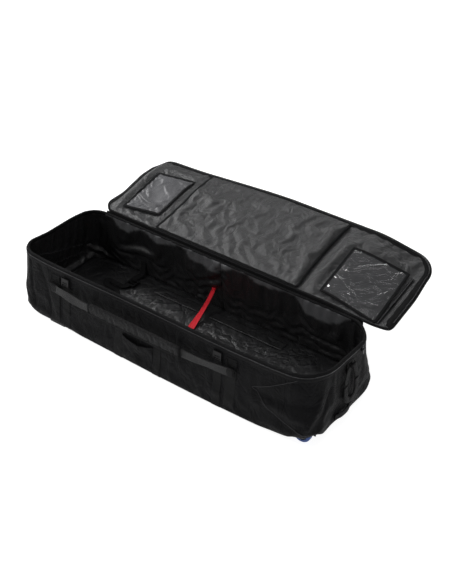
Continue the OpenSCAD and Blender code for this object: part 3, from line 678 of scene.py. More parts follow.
# creases and waves, which stay small under the webs and the haul loop
edge = np.minimum(smooth(0, 0.03, Z), smooth(TOP, WALL_TOP - 0.03, Z))
shape = 0.0035 * edge * flat_noise(U, Z, (0.22, 0.11), 3.0) * 2
for points, depth, width in CREASES:
    shape += crease(U, Z, points, depth, width)
calm = smooth(0.09, 0.05, np.abs(COL_Y - HAUL_Y)) * ON["wheel"]
for x in STRAP_X + HANDLE_X + ANCHOR_X:
    calm = np.maximum(calm, smooth(0.045, 0.02, np.abs(COL_X - x)))
calm = calm * smooth(0.12, 0.17, Z)
shape *= edge * (1 - 0.85 * calm)
slack_v = 1.01 + 0.006 * smooth(0.01, 0.03, rho)
WALL = settle(wall + shape[..., None] * OUTWARD, OUTWARD, (1.01, slack_v), -0.0035 * (1 - 0.7 * calm),
              np.where(calm > 0.5, 0.0008, 0.0055), seed=4, drift=0.006)


def part_of(panel):
    """Columns of a panel in the strip, with the next column, which it shares."""
    k = np.flatnonzero(PANEL_OF == panel)
    return np.append(k, k[-1] + 1)


WALLS = {panel: WALL[part_of(panel)] for panel in ("nose", "front", "wheel")}
back_start, nose_start = part_of("wheel")[-1], part_of("nose")[0]
WALLS["back"] = np.concatenate([WALL[back_start:], WALL[1 : nose_start + 1]])


def outside_wells(grid, faces):
    """The faces of a wall's grid that don't lie where a wheel comes through."""
    x, y, z = grid.reshape(-1, 3)[faces].mean(1).T
    in_well = (np.abs(x - WHEEL_X) < 0.042) & (np.abs(np.abs(y) - WHEEL_Y) < 0.0175) & (z < 0.014)
    return faces[~in_well]


for panel, replaced in (("nose", ["nose_panel"]), ("front", ["front_panel", "wall_foam"]),
                        ("wheel", ["wheel_end_panel"]), ("back", ["back_panel"])):
    side = cloth(panel + "_side", WALLS[panel], BLACK, "tub", 0.0018, slot="cloth", replaces=replaced,
                 keep=outside_wells)


def wall_column(panel, x):
    """Points of the settled front or back wall at x, from its bottom row to its top."""
    grid = WALLS[panel][:: 1 if panel == "front" else -1]
    xs = grid[:, grid.shape[1] // 2, 0]
    i = int(np.clip(np.searchsorted(xs, x) - 1, 0, len(xs) - 2))
    return mix(grid[i], grid[i + 1], (x - xs[i]) / (xs[i + 1] - xs[i]))


# ---- The base: rings from the walls' bottom rows in to a spine ----
RINGS = 9
outline = WALL[:-1, 0]
spine = np.stack([np.clip(outline[:, 0], -0.5, 0.5), 0 * outline[:, 0], 0 * outline[:, 0]], -1)
spine[:, 2] = belly_at(spine[:, 0])
verts = np.vstack([mix(outline, spine, k / RINGS) for k in range(RINGS + 1)])
n = len(outline)
faces = [[r * n + i, (r + 1) * n + i, (r + 1) * n + (i + 1) % n, r * n + (i + 1) % n]
         for r in range(RINGS) for i in range(n)]
base = make("base_cloth", verts, faces, BLACK, None, uv=verts[:, :2])
mod = base.modifiers.new("thickness", "SOLIDIFY")
mod.thickness, mod.offset = 0.0025, 1
base.modifiers.new("weld", "WELD")
WELL = (0.084, 0.033, 0.05)  # the opening that a wheel comes through
cutters = []
for side in (-1, 1):
    bpy.ops.mesh.primitive_cube_add(size=1, location=(WHEEL_X, side * WHEEL_Y, 0))
    bpy.context.object.scale = WELL
    cutters.append(bpy.context.object)
    mod = base.modifiers.new("well", "BOOLEAN")
    mod.operation, mod.object, mod.solver = "DIFFERENCE", cutters[-1], "EXACT"
bake(base)
for cutter in cutters:
    bpy.data.objects.remove(cutter)
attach(base, "tub")
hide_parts("base_shell", "base_board")

# ---- The tub's lining ----
LIN_TOP, LIN_FOOT = 0.2625, FLOOR_Z - 0.006
FLAPS = ((-0.585, -0.3), (-0.215, 0.055), (0.4, 0.6))  # where the back's lining hangs loose
lin_top = LIN_TOP + 0.008 * ON["back"]
lz = LIN_FOOT + np.linspace(0, 1, int(round(0.245 / GAP)) + 1)[None] * (lin_top - LIN_FOOT)
inner = surface(COLS, lz, LINED + 0.0006 + 0.005 * corner * (1 - smooth(0.018, 0.05, lz)))
inner = inner + rim_shift(inner)
INWARD = -normals(inner)
foot_x = inner[:, :1, 0]
flaps = 0.0
for x0, x1 in FLAPS:
    flaps = np.maximum(flaps, smooth(x0 - 0.03, x0 + 0.05, foot_x) * smooth(x1 + 0.03, x1 - 0.05, foot_x))
loose = ON["back"] * flaps * smooth(0.06, 0.22, lz)
room = 0.007 + 0.018 * loose + 0.004 * ON["nose"]
room = room + ON["wheel"] * (0.01 + 0.006 * flat_noise(U, lz, (0.15, 0.12), 8.0))
for x, w in ((RED_X, 0.035), (TIE_X, 0.04)):
    strapped = smooth(w + 0.02, w, np.abs(foot_x - x)) * (ON["front"] | ON["back"]) * smooth(0.14, 0.11, lz)
    room = mix(room, 0.0008, strapped)
fade = np.minimum(smooth(LIN_FOOT, FLOOR_Z + 0.012, lz), smooth(lin_top, lin_top - 0.007, lz))
room = np.maximum(room * fade, 0.0004)
slack_u = 1.02 + 0.03 * ON["wheel"] + 0.03 * ON["back"] * flaps
slack_v = 1.015 + 0.01 * ON["back"] + 0.09 * loose + 0.015 * ON["nose"] + 0.05 * ON["wheel"]
INNER = settle(inner, INWARD, (slack_u, slack_v), -0.0003, room, steps=70, seed=9)
lining = cloth("tub_lining_cloth", INNER, LINING, "tub", 0.0007, flip=True, slot="lining",
               replaces=["tub_lining"])


def painted_light_under_hinge(points):
    """1 where a pale grey is painted on the back wall's lining under the hinge, as painted light where its top
    faces up, down to an uneven edge.
    """
    x, y, z = points.T
    drop = 0.0
    for x0, x1, deep in ((-0.6, -0.4, 0.04), (-0.42, -0.2, 0.026), (-0.2, 0.08, 0.044),
                         (0.12, 0.34, 0.018), (0.36, 0.64, 0.062)):
        drop = np.maximum(drop, deep * smooth(x0, x0 + 0.06, x) * smooth(x1, x1 - 0.12, x))
    limit = 0.266 - drop + 0.012 * flat_noise(x, z, (0.06, 0.05), 44.0)
    return smooth(limit - 0.004, limit + 0.004, z) * (y > 0.17)


# the lining's top under the hinge is painted pale grey: painted light where the cloth faces up and catches the
# lamps
painted_light_share = lining.data.attributes.new("painted_light_share", "FLOAT", "POINT")
painted_light_share.data.foreach_set("value", painted_light_under_hinge(INNER.reshape(-1, 3)).astype(np.float32))
painted_light_lining = LINING.copy()
painted_light_lining.name = "lining with painted light"
painted_light_tree = painted_light_lining.node_tree
base_colour = painted_light_tree.nodes["Principled BSDF"].inputs["Base Color"]
read = painted_light_tree.nodes.new("ShaderNodeAttribute")
read.attribute_name = "painted_light_share"
plain_colour = base_colour.links[0].from_socket
# this pale grey is painted light on the lining's upward-facing top
mixed = mix_colours(painted_light_tree, read.outputs["Fac"], plain_colour, (0.095, 0.096, 0.1))
painted_light_tree.links.new(mixed, base_colour)
lining.data.materials[0] = painted_light_lining


# ---- The padded floor and the covers over the wheel housings ----
def floor_grid():
    """Grid over the tub's floor with rounded corners."""
    inset = LINED + 0.001
    ends = [(way * end_reach(end, FLOOR_Z, inset), mix(*CORNERS[end], FLOOR_Z / RIM_H) - inset)
            for end, way in (("nose", -1), ("wheel", 1))]
    x = np.linspace(ends[0][0], ends[1][0], int(1.48 / GAP))
    cut = 0.0
    for x_end, r in ends:
        d = np.clip(r - np.abs(x_end - x), 0, r)
        cut = np.maximum(cut, r - np.sqrt(r * r - d * d))
    across = np.linspace(-1, 1, int(0.46 / GAP))[None]
    y = (front_y(FLOOR_Z) - inset - cut)[:, None] * across
    return np.stack(np.broadcast_arrays(x[:, None], y, FLOOR_Z), -1)


FLOOR = floor_grid()
fx, fy = FLOOR[..., 0], FLOOR[..., 1]
room = 0.004 + 0.003 * flat_noise(fx, fy, (0.16, 0.12), 2.0)
for x, w in ((RED_X + 0.01, 0.04), (TIE_X, 0.03)):
    room = mix(room, 0.0006, smooth(w + 0.02, w, np.abs(fx - x)))
room = mix(room, 0.0006, smooth(0.145, 0.155, fy) * smooth(0.21, 0.2, fy) * plateau(fx, -0.34, 0.37, 0.02))
floor_up = np.broadcast_to([0, 0, 1.0], FLOOR.shape)
FLOOR_CLOTH = settle(FLOOR, floor_up, (1.01, 1.01), 0.0, np.maximum(room, 0.0004), pull=-0.4, steps=45,
                     seed=21, drift=0.012)
pad = cloth("floor_lining", FLOOR_CLOTH, LINING, "tub", 0.004, slot="lining", replaces=["floor_pad"])


def floor_height(x, y):
    """Height of the settled floor at a place."""
    i = int(np.clip(round((x - fx[0, 0]) / (fx[-1, 0] - fx[0, 0]) * (len(fx) - 1)), 0, len(fx) - 1))
    return float(np.interp(y, FLOOR_CLOTH[i, :, 1], FLOOR_CLOTH[i, :, 2]))


COVER_X, COVER_Y = (0.612, 0.7395), (0.135, 0.2375)
CORNER_AT, CORNER_R = (0.674, 0.17), 0.056  # the rounded corner that a cover stays inside
for side, name in ((-1, "wheel_cover_front"), (1, "wheel_cover_back")):
    gx, gy = np.meshgrid(np.linspace(*COVER_X, 30), np.linspace(*COVER_Y, 26), indexing="ij")
    gx = np.minimum(gx, COVER_X[1] - np.clip(gy - 0.175, 0, 1) ** 2 * 3.2)
    beyond = np.maximum(np.stack([gx, gy], -1) - CORNER_AT, 0)
    beyond *= np.minimum(1, CORNER_R / np.maximum(np.linalg.norm(beyond, axis=-1, keepdims=True), 1e-6))
    gx, gy = np.moveaxis(np.minimum(np.stack([gx, gy], -1), CORNER_AT) + beyond, -1, 0)
    h = smooth(COVER_X[0], 0.64, gx) * smooth(COVER_Y[0], 0.16, gy)
    top = 0.0425 + 0.004 * flat_noise(gx, gy * side, (0.05, 0.04), 5.0 + side)
    p = np.stack([gx, side * gy, FLOOR_Z - 0.001 + top * h], -1)
    p = settle(p, normals(p) * side, (1.05, 1.05), 0.0, 0.006 * np.minimum(1, h * 4 * (1 - h) + h), h < 0.01,
               steps=30, seed=30 + side)
    cover = cloth(name, p, LINING, "tub", 0.0015, flip=side < 0, slot="lining",
                  replaces=["wheel_well_covers"] if side < 0 else [])


# ---- Seam lines of the lining: light thread laid just off it ----
def inner_at(panel, f, z, lift):
    """Point of the settled lining at share f of a panel and height z, lifted off it."""
    k = np.flatnonzero(PANEL_OF == panel)
    i = k[np.argmin(np.abs([COLS[q][1] - f for q in k]))]
    j = int(np.clip(np.searchsorted(lz[i], z), 1, len(lz[i]) - 1))
    t = (z - lz[i, j - 1]) / (lz[i, j] - lz[i, j - 1])
    return mix(INNER[i, j - 1], INNER[i, j], t) + lift * INWARD[i, j]


seams = Pile()
for z0, z1, lift in ((0.188, 0.128, 0.0012), (0.128, 0.085, 0.001)):
    line = [inner_at("nose", 0.5 - y / (PANELS["nose"] - 0.02), mix(z0, z1, (y + 0.147) / 0.328), lift)
            for y in np.linspace(-0.2, 0.2, 60)]
    seams.sweep(resample(line, 0.004), (0, 0, 1), rod(0.0009, 6))
line = [inner_at("wheel", f, 0.2 + 0.003 * math.sin(11 * f), 0.0008) for f in np.linspace(0.05, 0.95, 150)]
seams.sweep(resample(line, 0.005), (0, 0, 1), rod(0.0008, 6))
seams.make("lining_seams", LINING_SEAM, "tub", slot="lining")


# ---- Rim binding and the tub's half of the main zip ----
def around(name, route, profile, finish, ripple, **more):
    """A tape that follows the rim along a route of panels: profile is [(height, inset)]."""
    cols = columns(route, 0.006)
    z, inset = np.array(profile).T[:, None]
    p = surface(cols, z, inset)
    p = p + rim_shift(p)
    out = p - p.mean(1, keepdims=True)
    w = ripple * flat_noise(girth(cols)[:, None], z, (0.05, 0.03), 6.0)
    p = p + w[..., None] * out / (np.linalg.norm(out, axis=-1, keepdims=True) + 1e-9)
    n, m = p.shape[:2]
    uv = np.stack(np.broadcast_arrays(distances(p[:, 0])[:, None], 0.004 * np.arange(m)[None]), -1)
    return make(name, p, quads(n, m), finish, "tub", uv=uv, **more)


around("rim_tape", [("nose", 0, 1), ("front", 0, 1), ("wheel", 0, 1)],
       [(0.26, -0.001), (0.266, -0.0014), (0.2712, -0.001), (0.2736, 0.0012), (0.2742, 0.0045),
        (0.2736, 0.008), (0.2712, 0.0102), (0.266, 0.0108), (0.259, 0.0106), (0.258, 0.009)],
       TAPE, 0.0007, slot="binding_tape", replaces=["rim_binding"])
around("rim_tape_hinge_side", [("back", 0, 1)],
       [(0.26, -0.001), (0.268, -0.0014), (0.2722, -0.0008), (0.274, 0.002), (0.2742, 0.005),
        (0.2734, 0.0085), (0.2712, 0.0102), (0.2686, 0.0106), (0.268, 0.0096), (0.2679, 0.0092)],
       TAPE, 0.0008, slot="binding_tape")
ZIP_ROUTE = [("nose", 0.3, 1.0), ("front", 0, 1), ("wheel", 0, 0.7)]
around("rim_zip", ZIP_ROUTE, [(0.2455, 0.0002), (0.2458, -0.0011), (0.255, -0.0013), (0.2625, -0.0015),
                              (0.264, -0.0014)], ZIP, 0.0003, slot="zip_tape", replaces=["tub_zip_tape"])
teeth = Pile()
line = surface(columns(ZIP_ROUTE, 0.006), np.array([0.263]), -0.0022)[:, 0]
line = line + rim_shift(line)
out_dir = np.cross(np.gradient(line, axis=0), (0, 0, 1.0))
out_dir /= np.linalg.norm(out_dir, axis=1)[:, None]
teeth.teeth(line, out_dir, (0, 0, 1.0), (0.0011, 0.0022, 0.0008))
teeth.make("rim_zip_teeth", TEETH, "tub", slot="zip_tape")

# ---- The hinge cloth ----
hx = np.linspace(-0.634, 0.672, 206)[:, None]
fold = np.array([(0.2232, 0.2455), (0.2229, 0.256), (0.2224, 0.266), (0.2224, 0.2712), (0.2232, 0.2745),
                 (0.2246, 0.2765), (0.2262, 0.2778)])
hy = fold[:, 0][None] + 0.0006 * flat_noise(hx, fold[:, 1][None], (0.07, 0.03), 9.0)
hz = fold[:, 1][None] + 0 * hy
hinge = make("hinge_cloth", np.stack([hx + 0 * hy, hy, hz], -1), quads(*hy.shape, flip=True), TAPE, None,
             uv=np.stack([hx + 0 * hy, hz], -1), slot="binding_tape", replaces=["hinge_strip"])
mod = hinge.modifiers.new("thickness", "SOLIDIFY")
mod.thickness, mod.offset = 0.0012, 0
bake(hinge)
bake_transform(hinge)


# ---- The lid's edge ----
LOOP_GAP = 0.006


def lid_loop():
    """Points (x, s) and outward directions all round the lid's edge, starting at its hinge side."""
    pts, out = [], []

    def line(a, b, n):
        k = max(2, int(math.dist(a, b) / LOOP_GAP))
        for t in np.linspace(0, 1, k, endpoint=False):
            pts.append((mix(a[0], b[0], t), mix(a[1], b[1], t)))
            out.append(n)

    def bend(c, r, a0, a1):
        k = max(6, int(abs(a1 - a0) * r / LOOP_GAP))
        for t in np.linspace(a0, a1, k, endpoint=False):
            out.append((math.cos(t), math.sin(t)))
            pts.append((c[0] + r * math.cos(t), c[1] + r * math.sin(t)))

    x0, x1, rl, rh = LID_X - LID_L / 2, LID_X + LID_L / 2, LID_R_HINGE, LID_R
    q = math.pi / 2
    line((x0 + rl, S0), (x1 - rl, S0), (0, -1))
    bend((x1 - rl, S0 + rl), rl, -q, 0)
    line((x1, S0 + rl), (x1, S1 - rh), (1, 0))
    bend((x1 - rh, S1 - rh), rh, 0, q)
    line((x1 - rh, S1), (x0 + rh, S1), (0, 1))
    bend((x0 + rh, S1 - rh), rh, q, 2 * q)
    line((x0, S1 - rh), (x0, S0 + rl), (-1, 0))
    bend((x0 + rl, S0 + rl), rl, 2 * q, 3 * q)
    return np.array(pts), np.array(out)


LOOP, LOOP_OUT = lid_loop()


def lid_ring(name, profile, finish, ripple, seed, hinge_width=None, **more):
    """A tape or binding round the lid's edge, narrower along the hinge: profile is [(inset, t)]."""
    inset, t = np.array(profile).T[:, None]
    inset = inset + 0 * LOOP[:, :1]
    if hinge_width:
        lo, hi = inset.min(), inset.max()
        inset = lo + (inset - lo) / (hi - lo) * mix(hinge_width, hi - lo, smooth(0.01, 0.07, LOOP[:, 1:]))
    x = LOOP[:, :1] - inset * LOOP_OUT[:, :1]
    s = LOOP[:, 1:] - inset * LOOP_OUT[:, 1:]
    along = LOOP_GAP * np.arange(1, len(LOOP) + 1)[:, None]
    t = t + ripple * smooth(0.02, 0.06, s) * flat_noise(along, inset, (0.06, 0.03), seed)
    uv = np.stack(np.broadcast_arrays(along, inset), -1)
    return make(name, on_lid(x, s, t), quads(*x.shape, wrap=True, flip=True), finish, "lid", uv=uv, **more)


lid_ring("lid_edge_tape",
         [(0.0075, 0.0036), (0.0045, 0.0044), (0.0015, 0.004), (0.0, 0.0018), (-0.0004, -0.002),
          (0.0, -0.0058), (0.0015, -0.008), (0.005, -0.0086), (0.0085, -0.008)],
         TAPE, 0.0008, 4.0, slot="binding_tape", replaces=["lid_binding"])
lid_ring("lid_zip_tape_cloth",
         [(0.006, 0.003), (0.0075, 0.0041), (0.016, 0.0042), (0.026, 0.004), (0.0285, 0.003)],
         ZIP, 0.001, 7.0, hinge_width=0.004, slot="zip_tape", replaces=["lid_zip_tape"])
teeth = Pile()
toothed = LOOP[:, 1] > 0.075
out_x, out_s = LOOP_OUT[toothed].T
side = np.stack([out_x, out_s * math.cos(TILT), out_s * math.sin(TILT)], -1)
x, s = (LOOP[toothed] - 0.0095 * LOOP_OUT[toothed]).T
teeth.teeth(on_lid(x, s, 0.0049), LID_UP, side, (0.0011, 0.0023, 0.0008))
teeth.make("lid_zip_teeth", TEETH, "lid", slot="zip_tape")

# ---- The lid's lining and outer shell, on one grid ----
LID_GAP, LID_INSET = 0.0125, 0.006  # between the points of the lid's cloths, and from its edge to them
share = np.linspace(-1, 1, int(LID_L / LID_GAP))[:, None]
ls = np.linspace(S0 + LID_INSET, S1 - LID_INSET, int(LID_W / LID_GAP))[None] + 0 * share
lx = LID_X + share * lid_reach(ls, LID_INSET)
POCKET_ZIP_X = {"left": -0.585, "right": 0.707}
WINDOWS = {"left_window": [(-0.579, 0.059), (-0.409, 0.088), (-0.404, 0.331), (-0.573, 0.303)],
           "right_window": [(0.448, 0.05), (0.697, 0.034), (0.682, 0.316), (0.438, 0.309)]}


def box(x0, x1, s0, s1, ramp=0.012):
    """1 over a part of the lid's grid, falling to 0 outside it."""
    along = smooth(x0 - ramp, x0, lx) * smooth(x1 + ramp, x1, lx)
    return along * smooth(s0 - ramp, s0, ls) * smooth(s1 + ramp, s1, ls)


def off_edge(far, ends):
    """0 at the edge of the lid's grid and 1 inside it: where that starts at the far edge and at the ends."""
    across = np.minimum(smooth(S0 + 0.008, S0 + 0.05, ls), smooth(S1 - far, S1 - 0.05, ls))
    return np.minimum(across, smooth(*ends, lid_reach(ls, 0.0) - np.abs(lx - LID_X)))


def lid_up(p):
    """The lid's normal for each point of a grid."""
    return np.broadcast_to(LID_UP, p.shape)


# the lining lifts only where no centre panel, window or pocket zip lies on it
inside = off_edge(0.022, (0.028, 0.055))
covered = smooth(-0.4, -0.385, lx) * smooth(0.38, 0.365, lx)
for part in ((-0.585, -0.398, 0.05, 0.34), (0.432, 0.7, 0.025, 0.325)):
    covered = np.maximum(covered, box(*part))
lane = np.maximum(*(smooth(0.02, 0.012, np.abs(lx - x)) for x in POCKET_ZIP_X.values()))
free = inside * (1 - lane) * (1 - covered)
swell = 0.003 * free * (1 + 1.6 * flat_noise(lx, ls, (0.22, 0.16), 12.0))
plane = on_lid(lx, ls, 0.003)
LID_IN = settle(plane + swell[..., None] * LID_UP, lid_up(plane), (1.012, 1.01),
                -0.003 * inside - 0.002 * covered, 0.009 * free, inside < 0.002, pull=-0.2, seed=31)
o = cloth("lid_lining_cloth_panel", LID_IN, GREY, "lid", 0.0007, subdivide=2, slot="lid_lining_cloth",
          replaces=["lid_lining"])

# centre panel, slack and bunched near its right seam
v = np.linspace(0, 1, int(0.37 / LID_GAP))[None]
u = np.linspace(0, 1, int(0.73 / LID_GAP))[:, None]
cs = mix(0.02, 0.42, v) + 0 * u
left = mix(-0.366, -0.372, v) + 0.012 * np.sin(3.0 * v)
right = mix(0.352, 0.348, v) - 0.01 * np.sin(math.pi * v)
cx = mix(left, right, u)
centre = on_lid(cx, cs, 0.0042)
bunch = smooth(0.26, 0.3, cx)
middle = np.minimum(plateau(v, 0, 1, 0.1), np.minimum(smooth(0, 0.04, u), smooth(1, 0.97, u)))
lumps = 0.012 * smooth(-0.3, 0.6, flat_noise(cx, cs, (0.25, 0.2), 15.0))
room = (0.004 + lumps + 0.012 * bunch) * middle + 0.0003
CENTRE = settle(centre, lid_up(centre), (1.022 + 0.14 * bunch, 1.018), 0.0, room, pull=-0.3, steps=80,
                seed=41, drift=0.03, bend=0.15)
o = cloth("centre_panel_cloth", CENTRE, GREY, "lid", 0.0007, subdivide=2, slot="lid_lining_cloth",
          replaces=["centre_panel"])
tapes = Pile()
for edge_x in (left, right):
    tapes.sweep(resample(on_lid(edge_x[0], cs[0], 0.0052), 0.006), (1, 0, 0), band(0.011, 0.0014, 0.3))
tapes.sweep(resample(on_lid(cx[:, 0], cs[:, 0], 0.005), 0.006), (0, 1, 0), band(0.01, 0.0012, 0.3))
tapes.make("centre_panel_tape", TAPE, "lid", slot="binding_tape")

# ---- Windows, on corners that lie where the pockets were sewn ----
window_tapes = Pile()
for name, quad in WINDOWS.items():
    q = np.array(quad)
    u = np.linspace(0, 1, 44)[:, None]
    v = np.linspace(0, 1, 44)[None, :]
    wx, ws = (mix(mix(a, b, u), mix(d, c, u), v) for a, b, c, d in q.T)
    p = on_lid(wx, ws, 0.0042)
    inner_part = np.minimum(plateau(u, 0, 1, 0.12), plateau(v, 0, 1, 0.12))
    swell = 0.003 * inner_part * (1 + flat_noise(wx, ws, (0.1, 0.12), 22.0))
    p = settle(p + swell[..., None] * LID_UP, lid_up(p), (1.02, 1.03), 0.0, 0.0004 + 0.01 * inner_part,
               pull=-0.3, steps=60, seed=51, bend=0.8)
    o = cloth(name + "_vinyl", p, HAZE if name == "left_window" else VINYL, "lid", 0.0004, slot="window",
              replaces=[name])
    ring = np.vstack([np.linspace(q[k], q[(k + 1) % 4], 40, endpoint=False) for k in range(4)])
    line = on_lid(ring[:, 0], ring[:, 1], 0.005)
    outwards = line - line.mean(0)
    window_tapes.sweep(np.vstack([line, line[:1]]), outwards, band(0.013, 0.0016, 0.3), closed=True)
window_tapes.make("window_frames", TAPE, "lid", slot="binding_tape", replaces=["window_bindings"])

# ---- Pocket zips and the right one's slider ----
zips, ticks = Pile(), Pile()
for x, s_start in ((POCKET_ZIP_X["left"], 0.081), (POCKET_ZIP_X["right"], 0.041)):
    s = np.linspace(s_start, 0.309, 60)
    zips.sweep(on_lid(x, s, 0.004), (1, 0, 0), band(0.0125, 0.0012))
    ticks.teeth(on_lid(x, s, 0.0048), LID_UP, (1.0, 0, 0), (0.001, 0.002, 0.0006), pitch=0.003)
slider = Pile()
SLIDER_S = 0.164
for ds, t, size in ((0.0, 0.0064, (0.0045, 0.006, 0.0015)), (0.0, 0.0081, (0.0015, 0.003, 0.0012)),
                    (-0.0155, 0.009, (0.0035, 0.0145, 0.0007))):
    place = on_lid(POCKET_ZIP_X["right"], SLIDER_S + ds, t)
    slider.block(place, lid_axes(POCKET_ZIP_X["right"], SLIDER_S), size)
right_slider = slider.make("right_pocket_pull", SLIDER, "right_pocket_slider", slot="slider",
                           replaces=["right_pocket_slider"])
right_slider.modifiers.new("round", "BEVEL").width = 0.0004
zips.make("pocket_zip_tapes", ZIP, "lid", slot="zip_tape", replaces=["pocket_zips"])
ticks.make("pocket_zip_teeth", TEETH, "lid", slot="zip_tape")

# ---- Outer shell of the lid, its two straps and their clips ----
under = on_lid(lx, ls, -0.0072)
inside = off_edge(0.01, (0.008, 0.05))
strapped = np.maximum(*(smooth(0.04, 0.022, np.abs(lx - x)) for x in STRAP_X))
room = np.maximum(0.006 * inside * (1 - strapped), 0.0002)
SHELL = settle(under, -lid_up(under), (1.012, 1.012), -0.002 * inside, room, pull=-0.4, seed=61)
shell = cloth("lid_shell", SHELL, BLACK, "lid", 0.0018, flip=True, slot="cloth",
              replaces=["lid_outer", "lid_foam"])
webs, clips = Pile(), Pile()
for x in STRAP_X:
    webs.sweep(on_lid(x, np.linspace(0.024, 0.422, 70), -0.008), (1, 0, 0), band(0.038, 0.0018, 0.1))
    axes = lid_axes(x, S1 - 0.03)
    clips.block(on_lid(x, S1 - 0.036, -0.0118), axes, (0.02, 0.008, 0.003), 0.5)
    clips.block(on_lid(x, S1 - 0.036, -0.015), axes, (0.013, 0.0045, 0.0006), 0.5)
    for k in (-1, 0, 1):
        clips.block(on_lid(x + 0.014 * k, S1 - 0.019, -0.0118), axes, (0.003, 0.0095, 0.002))
clips.make("strap_clip_pair", PLASTIC, "lid", slot="plastic", replaces=["strap_clips"])
webs.make("lid_strap_webs", WEB, "lid", slot="webbing", replaces=["lid_straps"])

# flat_at is a point on the lid's flat plane, and each piece on the lid gets a mesh of its own
flat_at = tuple(float(c) for c in in_lid(0.0, 0.1, 0.0))
for piece in ON_LID + [right_slider]:
    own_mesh(piece)


# ---- Webs on the walls ----
WEB_W = 0.038
WEB_ROWS = 60


def web_points(panel, x, width, z0, z1, lift=0.0012):
    """Grid of points of a web on the settled wall, from z0 up to z1. With z0 of 0 it starts at the base."""
    g = []
    for dx in np.linspace(-width / 2, width / 2, 7):
        p = wall_column(panel, x + dx)
        z = p[:, 2]
        if z0:
            g.append(rows_at(np.linspace(z0, z1, WEB_ROWS), z, p))
        else:
            d = distances(p)
            g.append(rows_at(np.linspace(0, np.interp(z1, z, d), WEB_ROWS), d, p))
    g = np.array(g)
    g[..., 1] = 0.6 * g[..., 1] + 0.4 * g[..., 1].mean(0, keepdims=True)
    return g + lift * normals(g) * (1 if panel == "front" else -1)


for kind, xs, front_z, back_z, node in (("compression", STRAP_X, 0.206, 0.206, "compression_straps"),
                                        ("handle", HANDLE_X, 0.15, 0.204, "handle_webs")):
    for k, x in enumerate(xs):
        front = web_points("front", x, WEB_W, 0, front_z)
        back = web_points("back", x, WEB_W, 0, back_z)
        across = np.linspace(-WEB_W / 2, WEB_W / 2, 7)[:, None]
        y = np.linspace(front[3, 0, 1], back[3, 0, 1], WEB_ROWS)[None, 1:-1]
        below = np.stack(np.broadcast_arrays(x + across, y, -0.0016 + belly_at(x)), -1)
        g = np.concatenate([front[:, ::-1], below, back], axis=1)
        cloth("%s_web_%d" % (kind, k + 1), g, WEB, "tub", 0.0014, flip=True, slot="webbing", replaces=[node])
for k, x in enumerate(ANCHOR_X):
    g = web_points("front", x, 0.05, 0.012, 0.232, lift=0.0014)
    cloth("anchor_web_%d" % (k + 1), g, WEB, "tub", 0.0014, slot="webbing", replaces=["anchor_webs"])

# ---- Bars that the handles turn on, and the tabs that hold them to the walls ----
bars, tabs = Pile(), Pile()
for xs, side, z, half in ((HANDLE_X, 1, BACK_BAR_Z, 0.019), (ANCHOR_X, -1, BAR_Z, 0.024)):
    for x in xs:
        bars.sweep([(x + dx, side * BAR_Y, z) for dx in (-half, 0, half)], (0, 1, 0), rod(BAR_R, 12))
bars.make("handle_bars", PLASTIC, "tub", slot="webbing")


def bar_tab(x, side, z):
    """A short web round a handle's bar, sewn down on the wall above and below it."""
    wall_y = front_y(z)
    half = [(wall_y + 0.0006, 0.03), (wall_y + 0.001, 0.015), (BAR_Y - 0.001, 0.0055)]
    pts = half + [(BAR_Y + 0.0045, 0)] + [(y, -dz) for y, dz in half[::-1]]
    tabs.sweep(curve([(x, side * y, z + dz) for y, dz in pts], 0.002), (1, 0, 0), band(0.006, 0.0014))


for xs, side, z, apart in ((ANCHOR_X, -1, BAR_Z, 0.0225), (HANDLE_X, 1, BACK_BAR_Z, 0.0185)):
    for x in xs:
        for dx in (-apart, apart):
            bar_tab(x + dx, side, z)
tabs.make("bar_tabs", WEB, "tub", slot="webbing")


def eye(pile, x, side, z, r, turn, width, thick):
    """A handle's web bent round its bar."""
    angles = np.linspace(turn[0], 2 * math.pi - turn[1], 24)
    ring = [(x, side * BAR_Y + r * math.sin(t), z + r * math.cos(t)) for t in angles]
    pile.sweep(ring[::side], (1, 0, 0), band(width, thick))


# ---- Carry handle: a long strap that twists beside its padded grip ----
STRAP_Z, STRAP_HALF = 0.176, 0.0185
way = curve([(-0.5325, -0.2395), (-0.5, -0.2425), (-0.44, -0.2495), (-0.38, -0.2555), (-0.33, -0.258),
             (-0.2, -0.2585), (0.0, -0.2585), (0.2, -0.258), (0.25, -0.2555), (0.31, -0.2495),
             (0.37, -0.2425), (0.4025, -0.2395)], 0.006)
x, y = way[:, :1], way[:, 1:]
turn = 0.26 * np.exp(-(((x + 0.41) / 0.045) ** 2)) - 0.22 * np.exp(-(((x - 0.28) / 0.045) ** 2))
across = STRAP_HALF * np.linspace(-1, 1, 9)[None]
z = STRAP_Z - 0.0015 * np.sin((x + 0.53) * 6.0) + across * np.cos(turn)
g = np.stack(np.broadcast_arrays(x, y + across * np.sin(turn), z), -1)
# the strap's lighter colour is painted sheen on its twists
cloth("carry_strap", g, STRAP_WITH_PAINTED_SHEEN, "carry_handle", 0.0026, slot="webbing", replaces=["carry_handle"])
eyes = Pile()
for x in ANCHOR_X:
    eye(eyes, x, -1, BAR_Z, 0.0052, (0.5, 0.35), 0.036, 0.0017)
    sewn = [(x, -0.2412, 0.1935), (x, -0.2418, 0.184), (x, -0.2412, 0.16)]
    eyes.sweep(resample(sewn, 0.003), (1, 0, 0), band(0.034, 0.0016))
eyes.make("carry_handle_eyes", WEB, "carry_handle", slot="webbing")

GRIP_Y, GRIP_Z = -0.259, 0.1772


def rounded(angle):
    """(across, up) of a rounded rectangle 2 by 2, at an angle round it."""
    return [np.sign(v) * np.abs(v) ** 0.62 for v in (np.sin(angle), np.cos(angle))]


